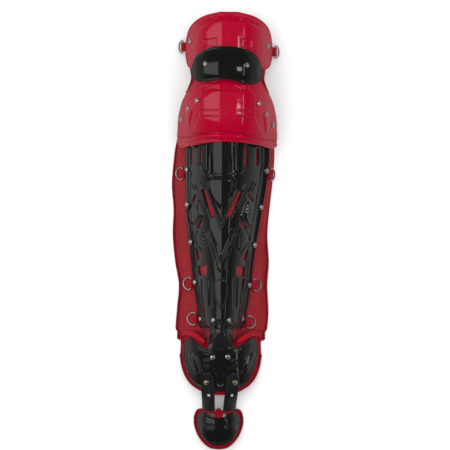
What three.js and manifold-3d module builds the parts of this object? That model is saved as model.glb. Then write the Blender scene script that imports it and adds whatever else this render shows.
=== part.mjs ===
import * as THREE from "three";
import { mergeVertices } from "three/addons/utils/BufferGeometryUtils.js";
import Module from "manifold-3d";

const wasm = await Module();
wasm.setup();

// A catcher's leg guard on its back. Millimetres, X across, Y from toe to thigh, Z up from the floor.
// The drawing starts on the shin's crest line, at the ankle end of the shin plate.

// Walls and clearances
const SHELL_WALL = 3;
const PAD_WALL = 12;
const STRAP_WALL = 2.5;
const CLEARANCE = 0.35;
const SEAT = 0.6;
const PAD_SEAT = 1.05;
const PAD_SEAM = 3.6;
const RELIEF_HEIGHT = 2;
const RECESS_DEPTH = 1.4;

// Shin plate and its padding
const SHIN_LENGTH = 322;
const SHIN_HALF_WIDTH = 62;
const SHIN_RISE = 88;
const SLOT_WIDTH = 4.2;
const RIB_WIDTH = 5.5;
const WING_SKIRT = 5;

// Knee cap
const KNEE_LENGTH = 116;
const KNEE_HALF_WIDTH = 82.5;
const KNEE_RISE = 113;
const KNEE_SHIFT = 7.3;
const KNEE_OVERLAP = 25;
const KNEE_BOW = 11;
const KNEE_LIP_WIDTH = 8;

// Thigh guard
const THIGH_LENGTH = 94;
const THIGH_HALF_WIDTH = 72.5;
const THIGH_RISE = 92;
const THIGH_SHIFT = 8.9;
const WAIST_GAP = 16;

// Upper knee cap, which bridges knee cap and thigh guard
const CAP_HEIGHT = 64;
const CAP_HALF_WIDTH = 58;
const CAP_RISE = 114;
const CAP_SHIFT = 5.6;
const CAP_OVERLAP = 11;

// Ankle plate and its padding
const ANKLE_LENGTH = 89;
const ANKLE_HALF_WIDTH = 61.5;
const ANKLE_RISE = 58;
const ANKLE_GAP = 14.5;
const ANKLE_PAD_MARGIN = 4.5;
const ANKLE_PAD_ROLL = 11.5;
const ANKLE_PAD_LENGTH = ANKLE_LENGTH + ANKLE_PAD_MARGIN + ANKLE_PAD_ROLL;
const ANKLE_PAD_SIDE = 6.5;
const ANKLE_PAD_HALF_WIDTH = ANKLE_HALF_WIDTH + ANKLE_PAD_SIDE;

// Toe plate and its padding
const TOE_LENGTH = 54;
const TOE_HALF_WIDTH = 36.5;
const TOE_RISE = 38;
const TOE_SHIFT = -2.6;
const TOE_GAP = 35.5;
const TOE_PAD_MARGIN = 4.5;
const TOE_PAD_TONGUE = 9.5;
const TOE_PAD_LENGTH = TOE_LENGTH + TOE_PAD_MARGIN + TOE_PAD_TONGUE;
const TOE_PAD_HALF_WIDTH = TOE_HALF_WIDTH + TOE_PAD_MARGIN;
const TOE_PAD_WALL = 7;

// Straps
const LINK_WIDTH = 46;
const LINK_TUCK = 12;
const TOE_STRAP_WIDTH = 22;
const TOE_STRAP_TUCK = 10;
const TOE_STRAP_SPREAD = 22;
const TOE_STRAP_TOE_SPREAD = 16;
const TOE_STRAP_ON_PLATE = 27;
const PUNCH_SPREAD = 19.5;
const PUNCH_DROP = 6.5;
const PUNCH_SIDES = 10;
const PUNCH_DIAMETER = 5.2;

// Rings, their webbing tabs and the rivets
const RING_LENGTH = 22.5;
const RING_REACH = 14;
const RING_WIRE = 2.4;
const TAB_WIDTH = 15;
const TAB_WALL = 1.6;
const TAB_TAIL = 3.4;
const RING_MARGIN = 4.4;
const THIGH_RING_MARGIN = 3.5;
const THIGH_RING_DROP = 6;
const THIGH_RING_SLOPE = 62;
const RING_STEPS = 16;
const RING_SIDES = 5;
const LOOP_STEPS = 5;
const RIVET_DIAMETER = 8.7;
const RIVET_HEIGHT = 2.2;

// Finishes
const RED_SHELL = { color: 0xb8002e, roughness: 0.12, metalness: 0 };
const BLACK_SHELL = { color: 0x101010, roughness: 0.1, metalness: 0 };
const RED_CLOTH = { color: 0xa01a2a, roughness: 0.9, metalness: 0 };
const RED_WEB = { color: 0xc0142e, roughness: 0.8, metalness: 0 };
const BLACK_STRAP = { color: 0x121212, roughness: 0.3, metalness: 0 };
const STEEL = { color: 0xc8c8c4, roughness: 0.25, metalness: 1 };
const BRASS = { color: 0xc9b48a, roughness: 0.3, metalness: 1 };

// Heights across half a section, from the crest (across 0) to the plate's edge (across 1)
const SHIN_SECTION = [
  { across: 0, height: 1 },
  { across: 0.2, height: 0.95 },
  { across: 0.42, height: 0.84 },
  { across: 0.62, height: 0.67 },
  { across: 0.78, height: 0.47 },
  { across: 0.88, height: 0.32 },
  { across: 1, height: 0.25 },
];
const DOME_SECTION = [
  { across: 0, height: 1 },
  { across: 0.2, height: 0.978 },
  { across: 0.4, height: 0.91 },
  { across: 0.6, height: 0.785 },
  { across: 0.76, height: 0.62 },
  { across: 0.88, height: 0.44 },
  { across: 1, height: 0.25 },
];
const CAP_SECTION = [
  { across: 0, height: 1 },
  { across: 0.3, height: 0.98 },
  { across: 0.6, height: 0.915 },
  { across: 0.85, height: 0.8 },
  { across: 1, height: 0.69 },
];

// Outlines by rows along Y: at is a share of the length, left, right and half of the half width
const SHIN_ROWS = [
  { at: 0, left: 0.54, right: 0.56, crest: 0.74 },
  { at: 0.02, left: 0.6, right: 0.62, crest: 0.745 },
  { at: 0.1, left: 0.645, right: 0.7, crest: 0.77 },
  { at: 0.226, left: 0.753, right: 0.795, crest: 0.815 },
  { at: 0.344, left: 0.823, right: 0.862, crest: 0.858 },
  { at: 0.482, left: 0.907, right: 0.961, crest: 0.9 },
  { at: 0.61, left: 0.968, right: 1.075, crest: 0.935 },
  { at: 0.738, left: 0.99, right: 1.184, crest: 0.963 },
  { at: 0.867, left: 1, right: 1.25, crest: 0.985 },
  { at: 0.93, left: 1, right: 1.255, crest: 0.993 },
  { at: 1, left: 1, right: 1.25, crest: 1 },
];
const SHIN_PAD_ROWS = [
  { at: -0.01, left: 1.16, right: 1.17 },
  { at: 0, left: 1.2, right: 1.22 },
  { at: 0.1, left: 1.17, right: 1.25 },
  { at: 0.226, left: 1.126, right: 1.216 },
  { at: 0.344, left: 1.23, right: 1.25 },
  { at: 0.482, left: 1.3, right: 1.205 },
  { at: 0.61, left: 1.285, right: 1.25 },
  { at: 0.738, left: 1.335, right: 1.32 },
  { at: 0.867, left: 1.29, right: 1.37 },
  { at: 0.93, left: 1.25, right: 1.365 },
  { at: 1, left: 1.17, right: 1.3 },
];
const KNEE_ROWS = [
  { at: 0, half: 0.92, bow: 1 },
  { at: 0.035, half: 0.975, bow: 0.92 },
  { at: 0.13, half: 1, bow: 0.65 },
  { at: 0.27, half: 1, bow: 0.3 },
  { at: 0.42, half: 0.99, bow: 0 },
  { at: 0.56, half: 0.955, bow: 0 },
  { at: 0.7, half: 0.895, bow: 0 },
  { at: 0.82, half: 0.8, bow: 0 },
  { at: 0.93, half: 0.7, bow: 0 },
  { at: 1, half: 0.62, bow: 0 },
];
const KNEE_CREST = [
  { at: 0, crest: 0.86 },
  { at: 0.2, crest: 0.93 },
  { at: 0.45, crest: 1 },
  { at: 0.7, crest: 0.985 },
  { at: 0.85, crest: 0.95 },
  { at: 1, crest: 0.89 },
];
const THIGH_ROWS = [
  { at: 0, half: 0.87 },
  { at: 0.05, half: 0.94 },
  { at: 0.17, half: 0.985 },
  { at: 0.35, half: 1 },
  { at: 0.52, half: 0.98 },
  { at: 0.66, half: 0.94 },
  { at: 0.77, half: 0.86 },
  { at: 0.87, half: 0.71 },
  { at: 0.94, half: 0.52 },
  { at: 1, half: 0.2 },
];
const THIGH_CREST = [
  { at: 0, crest: 1 },
  { at: 0.5, crest: 0.985 },
  { at: 0.8, crest: 0.94 },
  { at: 0.92, crest: 0.885 },
  { at: 1, crest: 0.82 },
];
const CAP_CREST = [
  { at: 0, crest: 0.94 },
  { at: 0.3, crest: 1 },
  { at: 0.6, crest: 0.985 },
  { at: 1, crest: 0.89 },
];
const ANKLE_CREST = [
  { at: 0, crest: 0.74 },
  { at: 0.3, crest: 0.83 },
  { at: 0.7, crest: 0.93 },
  { at: 1, crest: 1 },
];
const TOE_CREST = [
  { at: 0, crest: 0.72 },
  { at: 0.2, crest: 0.85 },
  { at: 0.5, crest: 0.97 },
  { at: 0.8, crest: 1 },
  { at: 1, crest: 0.96 },
];

// The waist of the upper padding: how much of the shells' width it keeps between them
const WAIST_ROWS = [
  { at: 0, half: 0.8 },
  { at: 0.12, half: 0.94 },
  { at: 0.3, half: 0.86 },
  { at: 0.37, half: 0.785 },
  { at: 0.44, half: 0.725 },
  { at: 0.5, half: 0.735 },
  { at: 0.545, half: 0.76 },
  { at: 0.6, half: 0.8 },
  { at: 0.7, half: 0.86 },
  { at: 0.82, half: 0.81 },
  { at: 0.9, half: 0.68 },
  { at: 0.96, half: 0.48 },
  { at: 0.995, half: 0.2 },
];

// Outlines by columns across X: low and high are shares of the length at each share of the half width
const CAP_COLUMNS = [
  { across: -1, low: 0.24, high: 0.48 },
  { across: -0.9, low: 0.11, high: 0.7 },
  { across: -0.75, low: 0.07, high: 0.84 },
  { across: -0.5, low: 0.085, high: 0.95 },
  { across: -0.22, low: 0.12, high: 0.993 },
  { across: 0, low: 0.13, high: 1 },
  { across: 0.22, low: 0.1, high: 0.985 },
  { across: 0.5, low: 0.04, high: 0.933 },
  { across: 0.75, low: 0.018, high: 0.84 },
  { across: 0.9, low: 0.06, high: 0.69 },
  { across: 1, low: 0.21, high: 0.46 },
];
const ANKLE_COLUMNS = [
  { across: -1, low: 0.62, high: 0.86 },
  { across: -0.93, low: 0.42, high: 0.965 },
  { across: -0.85, low: 0.28, high: 0.995 },
  { across: -0.7, low: 0.13, high: 0.91 },
  { across: -0.45, low: 0.05, high: 0.82 },
  { across: -0.2, low: 0.015, high: 0.78 },
  { across: 0, low: 0, high: 0.765 },
  { across: 0.2, low: 0.015, high: 0.78 },
  { across: 0.45, low: 0.06, high: 0.83 },
  { across: 0.7, low: 0.15, high: 0.92 },
  { across: 0.85, low: 0.33, high: 0.995 },
  { across: 0.93, low: 0.46, high: 0.975 },
  { across: 1, low: 0.68, high: 0.86 },
];
const ANKLE_PAD_COLUMNS = [
  { across: 0, low: 0, high: 0.787 },
  { across: 0.2, low: 0.008, high: 0.8 },
  { across: 0.4, low: 0.04, high: 0.858 },
  { across: 0.58, low: 0.095, high: 0.935 },
  { across: 0.73, low: 0.165, high: 0.985 },
  { across: 0.87, low: 0.29, high: 0.985 },
  { across: 0.96, low: 0.46, high: 0.945 },
  { across: 1, low: 0.62, high: 0.86 },
];
const TOE_COLUMNS = [
  { across: 0, low: 0, high: 0.86 },
  { across: 0.3, low: 0.035, high: 0.9 },
  { across: 0.55, low: 0.13, high: 0.965 },
  { across: 0.75, low: 0.27, high: 1 },
  { across: 0.9, low: 0.46, high: 0.96 },
  { across: 1, low: 0.66, high: 0.84 },
];
const TOE_PAD_COLUMNS = [
  { across: 0, low: 0, high: 0.97 },
  { across: 0.15, low: 0.005, high: 0.9 },
  { across: 0.35, low: 0.03, high: 0.885 },
  { across: 0.55, low: 0.11, high: 0.92 },
  { across: 0.72, low: 0.22, high: 0.95 },
  { across: 0.87, low: 0.36, high: 0.93 },
  { across: 0.96, low: 0.5, high: 0.85 },
  { across: 1, low: 0.61, high: 0.76 },
];

// Relief of the shin plate. Each row is one form of the right half, mirrored on the left:
// across is a share of the plate's left half width at that height, at a share of its length.
const SHIN_PANELS = [
  [
    { across: 0.37, at: 0.97 },
    { across: 0.37, at: 0.805 },
    { across: 0.55, at: 0.805 },
    { across: 0.55, at: 0.97 },
  ],
  [
    { across: 0.66, at: 0.645 },
    { across: 0.56, at: 0.585 },
    { across: 0.74, at: 0.528 },
    { across: 0.84, at: 0.535 },
    { across: 0.87, at: 0.61 },
    { across: 0.8, at: 0.65 },
  ],
  [
    { across: 0.5, at: 0.51 },
    { across: 0.49, at: 0.41 },
    { across: 0.58, at: 0.4 },
    { across: 0.72, at: 0.43 },
    { across: 0.78, at: 0.47 },
    { across: 0.68, at: 0.503 },
  ],
];
const SHIN_CENTRE_PANELS = [
  [
    { across: -0.215, at: 0.985 },
    { across: -0.215, at: 0.81 },
    { across: -0.15, at: 0.795 },
    { across: 0.15, at: 0.795 },
    { across: 0.215, at: 0.81 },
    { across: 0.215, at: 0.985 },
  ],
  [
    { across: -0.24, at: 0.767 },
    { across: -0.31, at: 0.752 },
    { across: -0.25, at: 0.69 },
    { across: 0, at: 0.63 },
    { across: 0.25, at: 0.69 },
    { across: 0.31, at: 0.752 },
    { across: 0.24, at: 0.767 },
  ],
  [
    { across: -0.07, at: 0.25 },
    { across: -0.21, at: 0.222 },
    { across: -0.21, at: 0.165 },
    { across: 0, at: 0.103 },
    { across: 0.21, at: 0.165 },
    { across: 0.21, at: 0.222 },
    { across: 0.07, at: 0.25 },
  ],
];
const SHIN_RIBS = [
  [
    { across: 0.585, at: 0.744 },
    { across: 0.4, at: 0.61 },
    { across: 0.06, at: 0.515 },
  ],
  [
    { across: 0.35, at: 0.5 },
    { across: 0.06, at: 0.365 },
  ],
  [
    { across: 0.4, at: 0.23 },
    { across: 0.4, at: 0.13 },
  ],
  [
    { across: 0.66, at: 0.235 },
    { across: 0.66, at: 0.13 },
  ],
];
const SHIN_SLOTS = [
  [
    { across: 0.62, at: 0.94 },
    { across: 0.62, at: 0.845 },
  ],
  [
    { across: 0.85, at: 0.93 },
    { across: 0.85, at: 0.845 },
  ],
  [
    { across: 0.495, at: 0.71 },
    { across: 0.235, at: 0.578 },
  ],
  [
    { across: 0.69, at: 0.69 },
    { across: 0.81, at: 0.655 },
  ],
  [
    { across: 0.55, at: 0.548 },
    { across: 0.69, at: 0.518 },
  ],
];
const SHIN_WINDOWS = [
  [
    { across: 0.82, at: 0.412 },
    { across: 0.66, at: 0.36 },
    { across: 0.78, at: 0.357 },
  ],
  [
    { across: 0.52, at: 0.322 },
    { across: 0.53, at: 0.277 },
    { across: 0.76, at: 0.277 },
    { across: 0.77, at: 0.322 },
  ],
];

// Relief of the other shells: across is a share of the half width, at a share of the length
const KNEE_PANEL = [
  { across: -0.56, at: 0.79 },
  { across: -0.56, at: 0.42 },
  { across: -0.4, at: 0.34 },
  { across: 0.4, at: 0.34 },
  { across: 0.56, at: 0.42 },
  { across: 0.56, at: 0.79 },
  { across: 0.4, at: 0.84 },
  { across: -0.4, at: 0.84 },
];
const KNEE_RIB = [
  { across: -0.5, at: 0.885 },
  { across: 0, at: 0.905 },
  { across: 0.5, at: 0.885 },
];
const THIGH_PANEL = [
  { across: -0.78, at: 0.36 },
  { across: -0.68, at: 0.66 },
  { across: -0.4, at: 0.82 },
  { across: 0.45, at: 0.82 },
  { across: 0.78, at: 0.66 },
  { across: 0.79, at: 0.32 },
  { across: 0.5, at: 0.2 },
  { across: -0.5, at: 0.2 },
];
const THIGH_NOTCHES = [
  [
    { across: -0.57, at: 0.47 },
    { across: -0.57, at: 0.37 },
    { across: -0.27, at: 0.37 },
    { across: -0.27, at: 0.47 },
  ],
  [
    { across: 0.25, at: 0.48 },
    { across: 0.25, at: 0.37 },
    { across: 0.53, at: 0.33 },
    { across: 0.5, at: 0.48 },
  ],
];
const ANKLE_RIBS = [
  [
    { across: -0.82, at: 0.72 },
    { across: -0.66, at: 0.34 },
  ],
  [
    { across: 0.82, at: 0.72 },
    { across: 0.66, at: 0.34 },
  ],
  [
    { across: 0, at: 0.3 },
    { across: 0, at: 0.12 },
  ],
];
const TOE_PANEL = [
  { across: -0.72, at: 0.6 },
  { across: -0.6, at: 0.36 },
  { across: -0.3, at: 0.2 },
  { across: 0.3, at: 0.2 },
  { across: 0.6, at: 0.36 },
  { across: 0.72, at: 0.6 },
];

// Where rivets and rings sit: across and at as above, on the shell's left (negative) or right
const SHIN_RIVETS = [
  { name: "left_1", across: -0.94, at: 0.815 },
  { name: "left_2", across: -0.94, at: 0.636 },
  { name: "left_3", across: -0.92, at: 0.444 },
  { name: "left_4", across: -0.91, at: 0.238 },
  { name: "left_5", across: -0.88, at: 0.05 },
  { name: "right_1", across: 0.95, at: 0.812 },
  { name: "right_2", across: 0.94, at: 0.626 },
  { name: "right_3", across: 0.93, at: 0.432 },
  { name: "right_4", across: 0.92, at: 0.226 },
  { name: "right_5", across: 0.86, at: 0.052 },
];
const SHIN_FOOT_RIVETS = [
  { name: "foot_1", across: -0.33, at: 0.045 },
  { name: "foot_2", across: 0.33, at: 0.045 },
];
const KNEE_RIVETS = [
  { name: "1", across: -0.61, at: 0.68 },
  { name: "2", across: -0.785, at: 0.565 },
  { name: "3", across: -0.915, at: 0.41 },
  { name: "4", across: 0.625, at: 0.645 },
  { name: "5", across: 0.775, at: 0.49 },
  { name: "6", across: 0.91, at: 0.345 },
];
const THIGH_RIVETS = [
  { name: "1", across: -0.88, at: 0.475 },
  { name: "2", across: 0.875, at: 0.405 },
];
const CAP_RIVETS = [
  { name: "1", across: -0.6, at: 0.535 },
  { name: "2", across: 0.56, at: 0.503 },
];
const ANKLE_RIVETS = [
  { name: "1", across: -0.215, at: 0.635 },
  { name: "2", across: 0.19, at: 0.65 },
];
const STRAP_RIVETS = [
  { name: "1", across: -0.375, at: 0.17 },
  { name: "2", across: 0.39, at: 0.175 },
];
// The ring's outline: out is a share of its reach, side a share of half its length
const RING_OUTLINE = [
  { out: 0, side: 0 },
  { out: 0, side: 0.75 },
  { out: 0.12, side: 1 },
  { out: 0.5, side: 0.92 },
  { out: 0.87, side: 0.52 },
  { out: 1, side: 0 },
  { out: 0.87, side: -0.52 },
  { out: 0.5, side: -0.92 },
  { out: 0.12, side: -1 },
  { out: 0, side: -0.75 },
];
// A toe strap's width along its length, with a round end on the ankle plate
const TOE_STRAP_ROWS = [
  { at: 0, half: 0.95 },
  { at: 0.08, half: 0.95 },
  { at: 0.16, half: 0.95 },
  { at: 0.36, half: 0.97 },
  { at: 0.55, half: 1 },
  { at: 0.66, half: 1 },
  { at: 0.78, half: 1 },
  { at: 0.88, half: 1 },
  { at: 0.94, half: 0.85 },
  { at: 1, half: 0.45 },
];
const RING_PLACES = [
  { name: "shin_left_1", side: -1, at: 0.795 },
  { name: "shin_left_2", side: -1, at: 0.231 },
  { name: "shin_left_3", side: -1, at: 0.051 },
  { name: "shin_right_1", side: 1, at: 0.795 },
  { name: "shin_right_2", side: 1, at: 0.228 },
  { name: "shin_right_3", side: 1, at: 0.036 },
];
const THIGH_RING_PLACES = [
  { name: "thigh_left", side: -1, at: 0.385 },
  { name: "thigh_right", side: 1, at: 0.31 },
];

// Smooth curve through a table's rows: the value of one column at a place, held level past both ends
function along(rows, key, column, place) {
  const last = rows.length - 1;
  if (place <= rows[0][key]) return rows[0][column];
  if (place >= rows[last][key]) return rows[last][column];
  let i = 0;
  while (rows[i + 1][key] < place) i++;
  const slope = (a, b) => (rows[b][column] - rows[a][column]) / (rows[b][key] - rows[a][key]);
  const before = slope(Math.max(i - 1, 0), i + 1);
  const after = slope(i, Math.min(i + 2, last));
  const step = rows[i + 1][key] - rows[i][key];
  const t = (place - rows[i][key]) / step;
  const rise = rows[i + 1][column] - rows[i][column];
  return (
    rows[i][column] +
    t * before * step +
    t * t * (3 * rise - (2 * before + after) * step) +
    t * t * t * ((before + after) * step - 2 * rise)
  );
}

// Half a section past the plate's edge: a straight flank that falls to the floor and on below it
function sectionHeight(section, across, floorAcross) {
  if (across <= 1) return along(section, "across", "height", across);
  const edge = section[section.length - 1].height;
  return edge * (1 - (across - 1) / (floorAcross - 1));
}

const clampShare = (value) => Math.min(1, Math.max(0, value));
const mix = (a, b, share) => a + (b - a) * share;

// Where each piece starts along Y
const KNEE_LOW = SHIN_LENGTH - KNEE_OVERLAP;
const THIGH_LOW = KNEE_LOW + KNEE_LENGTH + WAIST_GAP;
const CAP_LOW = KNEE_LOW + KNEE_LENGTH - CAP_OVERLAP;
const ANKLE_LOW = -ANKLE_GAP - ANKLE_LENGTH;
const ANKLE_PAD_LOW = ANKLE_LOW - ANKLE_PAD_MARGIN;
const TOE_LOW = ANKLE_LOW - TOE_GAP - TOE_LENGTH;
const TOE_PAD_LOW = TOE_LOW - TOE_PAD_MARGIN;
const UNDER_SHELL = -(SHELL_WALL + PAD_SEAT);
const PROBE = 0.5;
const CAP_SKIRT = 2;

// Outer surfaces of the shells, each a height over X and Y
function shinSurface(x, y) {
  const at = y / SHIN_LENGTH;
  const side = x < 0 ? "left" : "right";
  const plateHalf = SHIN_HALF_WIDTH * along(SHIN_ROWS, "at", side, at);
  const padHalf = SHIN_HALF_WIDTH * along(SHIN_PAD_ROWS, "at", side, at);
  const crest = SHIN_RISE * along(SHIN_ROWS, "at", "crest", at);
  const floorAcross = (padHalf - UNDER_SHELL) / plateHalf;
  return crest * sectionHeight(SHIN_SECTION, Math.abs(x) / plateHalf, floorAcross);
}

function dome(section, crests, rise, shift, half, low, length, floorAcross) {
  return (x, y) => {
    const crest = rise * along(crests, "at", "crest", (y - low) / length);
    return crest * sectionHeight(section, Math.abs(x - shift) / half, floorAcross);
  };
}

// How far a shell has to move up to lie just clear of what is under it
const SEAT_STEP = 3;
function seatLift(surface, covers, below) {
  let lift = -Infinity;
  for (let y = -TOE_PAD_LENGTH; y < THIGH_LOW + THIGH_LENGTH; y += SEAT_STEP) {
    for (let x = -2 * KNEE_HALF_WIDTH; x < 2 * KNEE_HALF_WIDTH; x += SEAT_STEP) {
      if (!covers(x, y)) continue;
      const inner = surface(x, y) - SHELL_WALL / normalAt(surface, x, y).z;
      for (const support of below) {
        if (support.covers(x, y)) lift = Math.max(lift, support.surface(x, y) + support.relief - inner);
      }
    }
  }
  return lift + SEAT;
}

const raisedBy = (surface, lift) => (x, y) => surface(x, y) + lift;
const insideRows = (rows, shift, half, low, length) => (x, y) => {
  const at = (y - low) / length;
  return at >= 0 && at <= 1 && Math.abs(x - shift) <= half * along(rows, "at", "half", at);
};
const insideColumns = (columns, shift, half, low, length) => (x, y) => {
  const across = (x - shift) / half;
  const at = (y - low) / length;
  if (Math.abs(across) > 1) return false;
  return at >= along(columns, "across", "low", across) && at <= along(columns, "across", "high", across);
};
function onShinPlate(x, y) {
  const at = y / SHIN_LENGTH;
  const half = SHIN_HALF_WIDTH * along(SHIN_ROWS, "at", x < 0 ? "left" : "right", at);
  return at >= 0 && at <= 1 && Math.abs(x) <= half;
}

const SKIRT = 1.035;
const ANKLE_SKIRT = (ANKLE_PAD_HALF_WIDTH - UNDER_SHELL) / ANKLE_HALF_WIDTH;
const TOE_SKIRT = (TOE_PAD_HALF_WIDTH - UNDER_SHELL) / TOE_HALF_WIDTH;
const freeKnee = dome(
  DOME_SECTION, KNEE_CREST, KNEE_RISE, KNEE_SHIFT, KNEE_HALF_WIDTH, KNEE_LOW, KNEE_LENGTH, SKIRT,
);
const onKnee = insideRows(KNEE_ROWS, KNEE_SHIFT, KNEE_HALF_WIDTH, KNEE_LOW, KNEE_LENGTH);
const kneeSurface = raisedBy(
  freeKnee,
  seatLift(freeKnee, onKnee, [{ surface: shinSurface, covers: onShinPlate, relief: RELIEF_HEIGHT }]),
);
const thighSurface = dome(
  DOME_SECTION, THIGH_CREST, THIGH_RISE, THIGH_SHIFT, THIGH_HALF_WIDTH, THIGH_LOW, THIGH_LENGTH, SKIRT,
);
const onThigh = insideRows(THIGH_ROWS, THIGH_SHIFT, THIGH_HALF_WIDTH, THIGH_LOW, THIGH_LENGTH);
const freeCap = dome(
  CAP_SECTION, CAP_CREST, CAP_RISE, CAP_SHIFT, CAP_HALF_WIDTH, CAP_LOW, CAP_HEIGHT, CAP_SKIRT,
);
const capSurface = raisedBy(
  freeCap,
  seatLift(freeCap, insideColumns(CAP_COLUMNS, CAP_SHIFT, CAP_HALF_WIDTH, CAP_LOW, CAP_HEIGHT), [
    { surface: kneeSurface, covers: onKnee, relief: RELIEF_HEIGHT },
    { surface: thighSurface, covers: onThigh, relief: RELIEF_HEIGHT },
  ]),
);
const ankleSurface = dome(
  DOME_SECTION, ANKLE_CREST, ANKLE_RISE, 0, ANKLE_HALF_WIDTH, ANKLE_LOW, ANKLE_LENGTH, ANKLE_SKIRT,
);
const toeSurface = dome(
  DOME_SECTION, TOE_CREST, TOE_RISE, TOE_SHIFT, TOE_HALF_WIDTH, TOE_LOW, TOE_LENGTH, TOE_SKIRT,
);

// The upper padding follows the knee cap, then the thigh guard
function upperSurface(x, y) {
  const share = clampShare((y - (THIGH_LOW - WAIST_GAP)) / WAIST_GAP);
  return mix(kneeSurface(x, y), thighSurface(x, y), share * share * (3 - 2 * share));
}

// A point of a surface, moved along its normal
function normalAt(surface, x, y) {
  const east = surface(x + PROBE, y) - surface(x - PROBE, y);
  const north = surface(x, y + PROBE) - surface(x, y - PROBE);
  return new THREE.Vector3(-east, -north, 2 * PROBE).normalize();
}
function pointOn(surface, x, y, offset) {
  return new THREE.Vector3(x, y, surface(x, y)).addScaledVector(normalAt(surface, x, y), offset);
}

// Columns across the plate, then over the wings beside it
const SHIN_ACROSS = [-1, -0.88, -0.78, -0.62, -0.42, -0.2, 0, 0.2, 0.42, 0.62, 0.78, 0.88, 1];
const WING_SHARES = [1, 0.5];
const ANKLE_PEAK = 0.87;

// Nets of places over X and Y, rows from low to high Y and columns from left to right
const SHELL_ACROSS = [-1, -0.9, -0.78, -0.6, -0.4, -0.2, 0, 0.2, 0.4, 0.6, 0.78, 0.9, 1];

function shinPlateNet() {
  return SHIN_ROWS.map(({ at, left, right }) =>
    SHIN_ACROSS.map((across) => [
      across * SHIN_HALF_WIDTH * (across < 0 ? left : right),
      at * SHIN_LENGTH,
    ]),
  );
}

// The padding's columns go on past the plate's edge over the wings, and its low end follows the ankle padding
function shinPadNet() {
  const leftWing = WING_SHARES.map((share) => -1 - share);
  const rightWing = WING_SHARES.map((share) => 1 + share).reverse();
  const columns = [...leftWing, ...SHIN_ACROSS, ...rightWing];
  return SHIN_PAD_ROWS.map((row, j) =>
    columns.map((column) => {
      const side = column < 0 ? "left" : "right";
      const sign = Math.sign(column);
      const plateHalf = SHIN_HALF_WIDTH * along(SHIN_ROWS, "at", side, row.at);
      const padHalf = SHIN_HALF_WIDTH * row[side] + WING_SKIRT;
      const onPlate = Math.min(1, Math.abs(column));
      const x = sign * mix(onPlate * plateHalf, padHalf, Math.max(0, Math.abs(column) - 1));
      return [x, j === 0 ? anklePadTop(x) + PAD_SEAM : row.at * SHIN_LENGTH];
    }),
  );
}

function anklePadTop(x) {
  const across = Math.min(Math.abs(x) / (ANKLE_PAD_HALF_WIDTH + WING_SKIRT), ANKLE_PEAK);
  return ANKLE_PAD_LOW + ANKLE_PAD_LENGTH * along(ANKLE_PAD_COLUMNS, "across", "high", across);
}

function rowNet(rows, acrosses, shift, half, low, length, bow) {
  return rows.map((row) =>
    acrosses.map((across) => [
      shift + across * half * row.half,
      low + row.at * length + bow * (row.bow || 0) * (1 - across * across),
    ]),
  );
}

function columnNet(columns, shares, shift, half, low, length) {
  const both = columns[0].across < 0 ? columns : mirrored(columns);
  return shares.map((share) =>
    both.map((column) => [
      shift + column.across * half,
      low + length * mix(column.low, column.high, share),
    ]),
  );
}

function mirrored(columns) {
  const left = columns.slice(1).reverse();
  return [...left.map((column) => ({ ...column, across: -column.across })), ...columns];
}

// A closed wall between two faces that lie top and bottom from a surface, along its normal
function wall(net, surface, top, bottom) {
  const rows = net.length;
  const columns = net[0].length;
  const layer = rows * columns;
  const corners = [top, bottom].flatMap((offset) =>
    net.flat().flatMap(([x, y]) => pointOn(surface, x, y, offset).toArray()),
  );
  const index = [];
  const quad = (a, b, c, d) => index.push(a, b, c, a, c, d);
  const at = (row, column) => row * columns + column;
  for (let j = 0; j < rows - 1; j++) {
    for (let i = 0; i < columns - 1; i++) {
      const [a, b, c, d] = [at(j, i), at(j, i + 1), at(j + 1, i + 1), at(j + 1, i)];
      quad(a, b, c, d);
      quad(layer + a, layer + d, layer + c, layer + b);
    }
    quad(at(j + 1, 0), layer + at(j + 1, 0), layer + at(j, 0), at(j, 0));
    const [near, far] = [at(j, columns - 1), at(j + 1, columns - 1)];
    quad(near, layer + near, layer + far, far);
  }
  for (let i = 0; i < columns - 1; i++) {
    quad(at(0, i), layer + at(0, i), layer + at(0, i + 1), at(0, i + 1));
    quad(at(rows - 1, i + 1), layer + at(rows - 1, i + 1), layer + at(rows - 1, i), at(rows - 1, i));
  }
  const geometry = new THREE.BufferGeometry();
  geometry.setAttribute("position", new THREE.Float32BufferAttribute(corners, 3));
  geometry.setIndex(index);
  return solidOf(geometry);
}

// Solids for joining and cutting, made from three.js geometry and turned back into it
function solidOf(geometry) {
  const bare = geometry.clone();
  bare.deleteAttribute("normal");
  bare.deleteAttribute("uv");
  const merged = mergeVertices(bare, 1e-4);
  return new wasm.Manifold(
    new wasm.Mesh({
      numProp: 3,
      vertProperties: merged.attributes.position.array,
      triVerts: new Uint32Array(merged.index.array),
    }),
  );
}

function geometryOf(solid) {
  const mesh = solid.getMesh();
  const geometry = new THREE.BufferGeometry();
  geometry.setAttribute("position", new THREE.BufferAttribute(mesh.vertProperties, 3));
  geometry.setIndex(new THREE.BufferAttribute(mesh.triVerts, 1));
  return geometry;
}

// An upright prism over an outline, tall enough to pass through any piece
const PRISM_TOP = 2 * KNEE_RISE;
function prism(points) {
  const shape = new THREE.Shape(points.map(([x, y]) => new THREE.Vector2(x, y)));
  const geometry = new THREE.ExtrudeGeometry(shape, { depth: 2 * PRISM_TOP, bevelEnabled: false });
  return solidOf(geometry.translate(0, 0, -PRISM_TOP));
}

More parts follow.
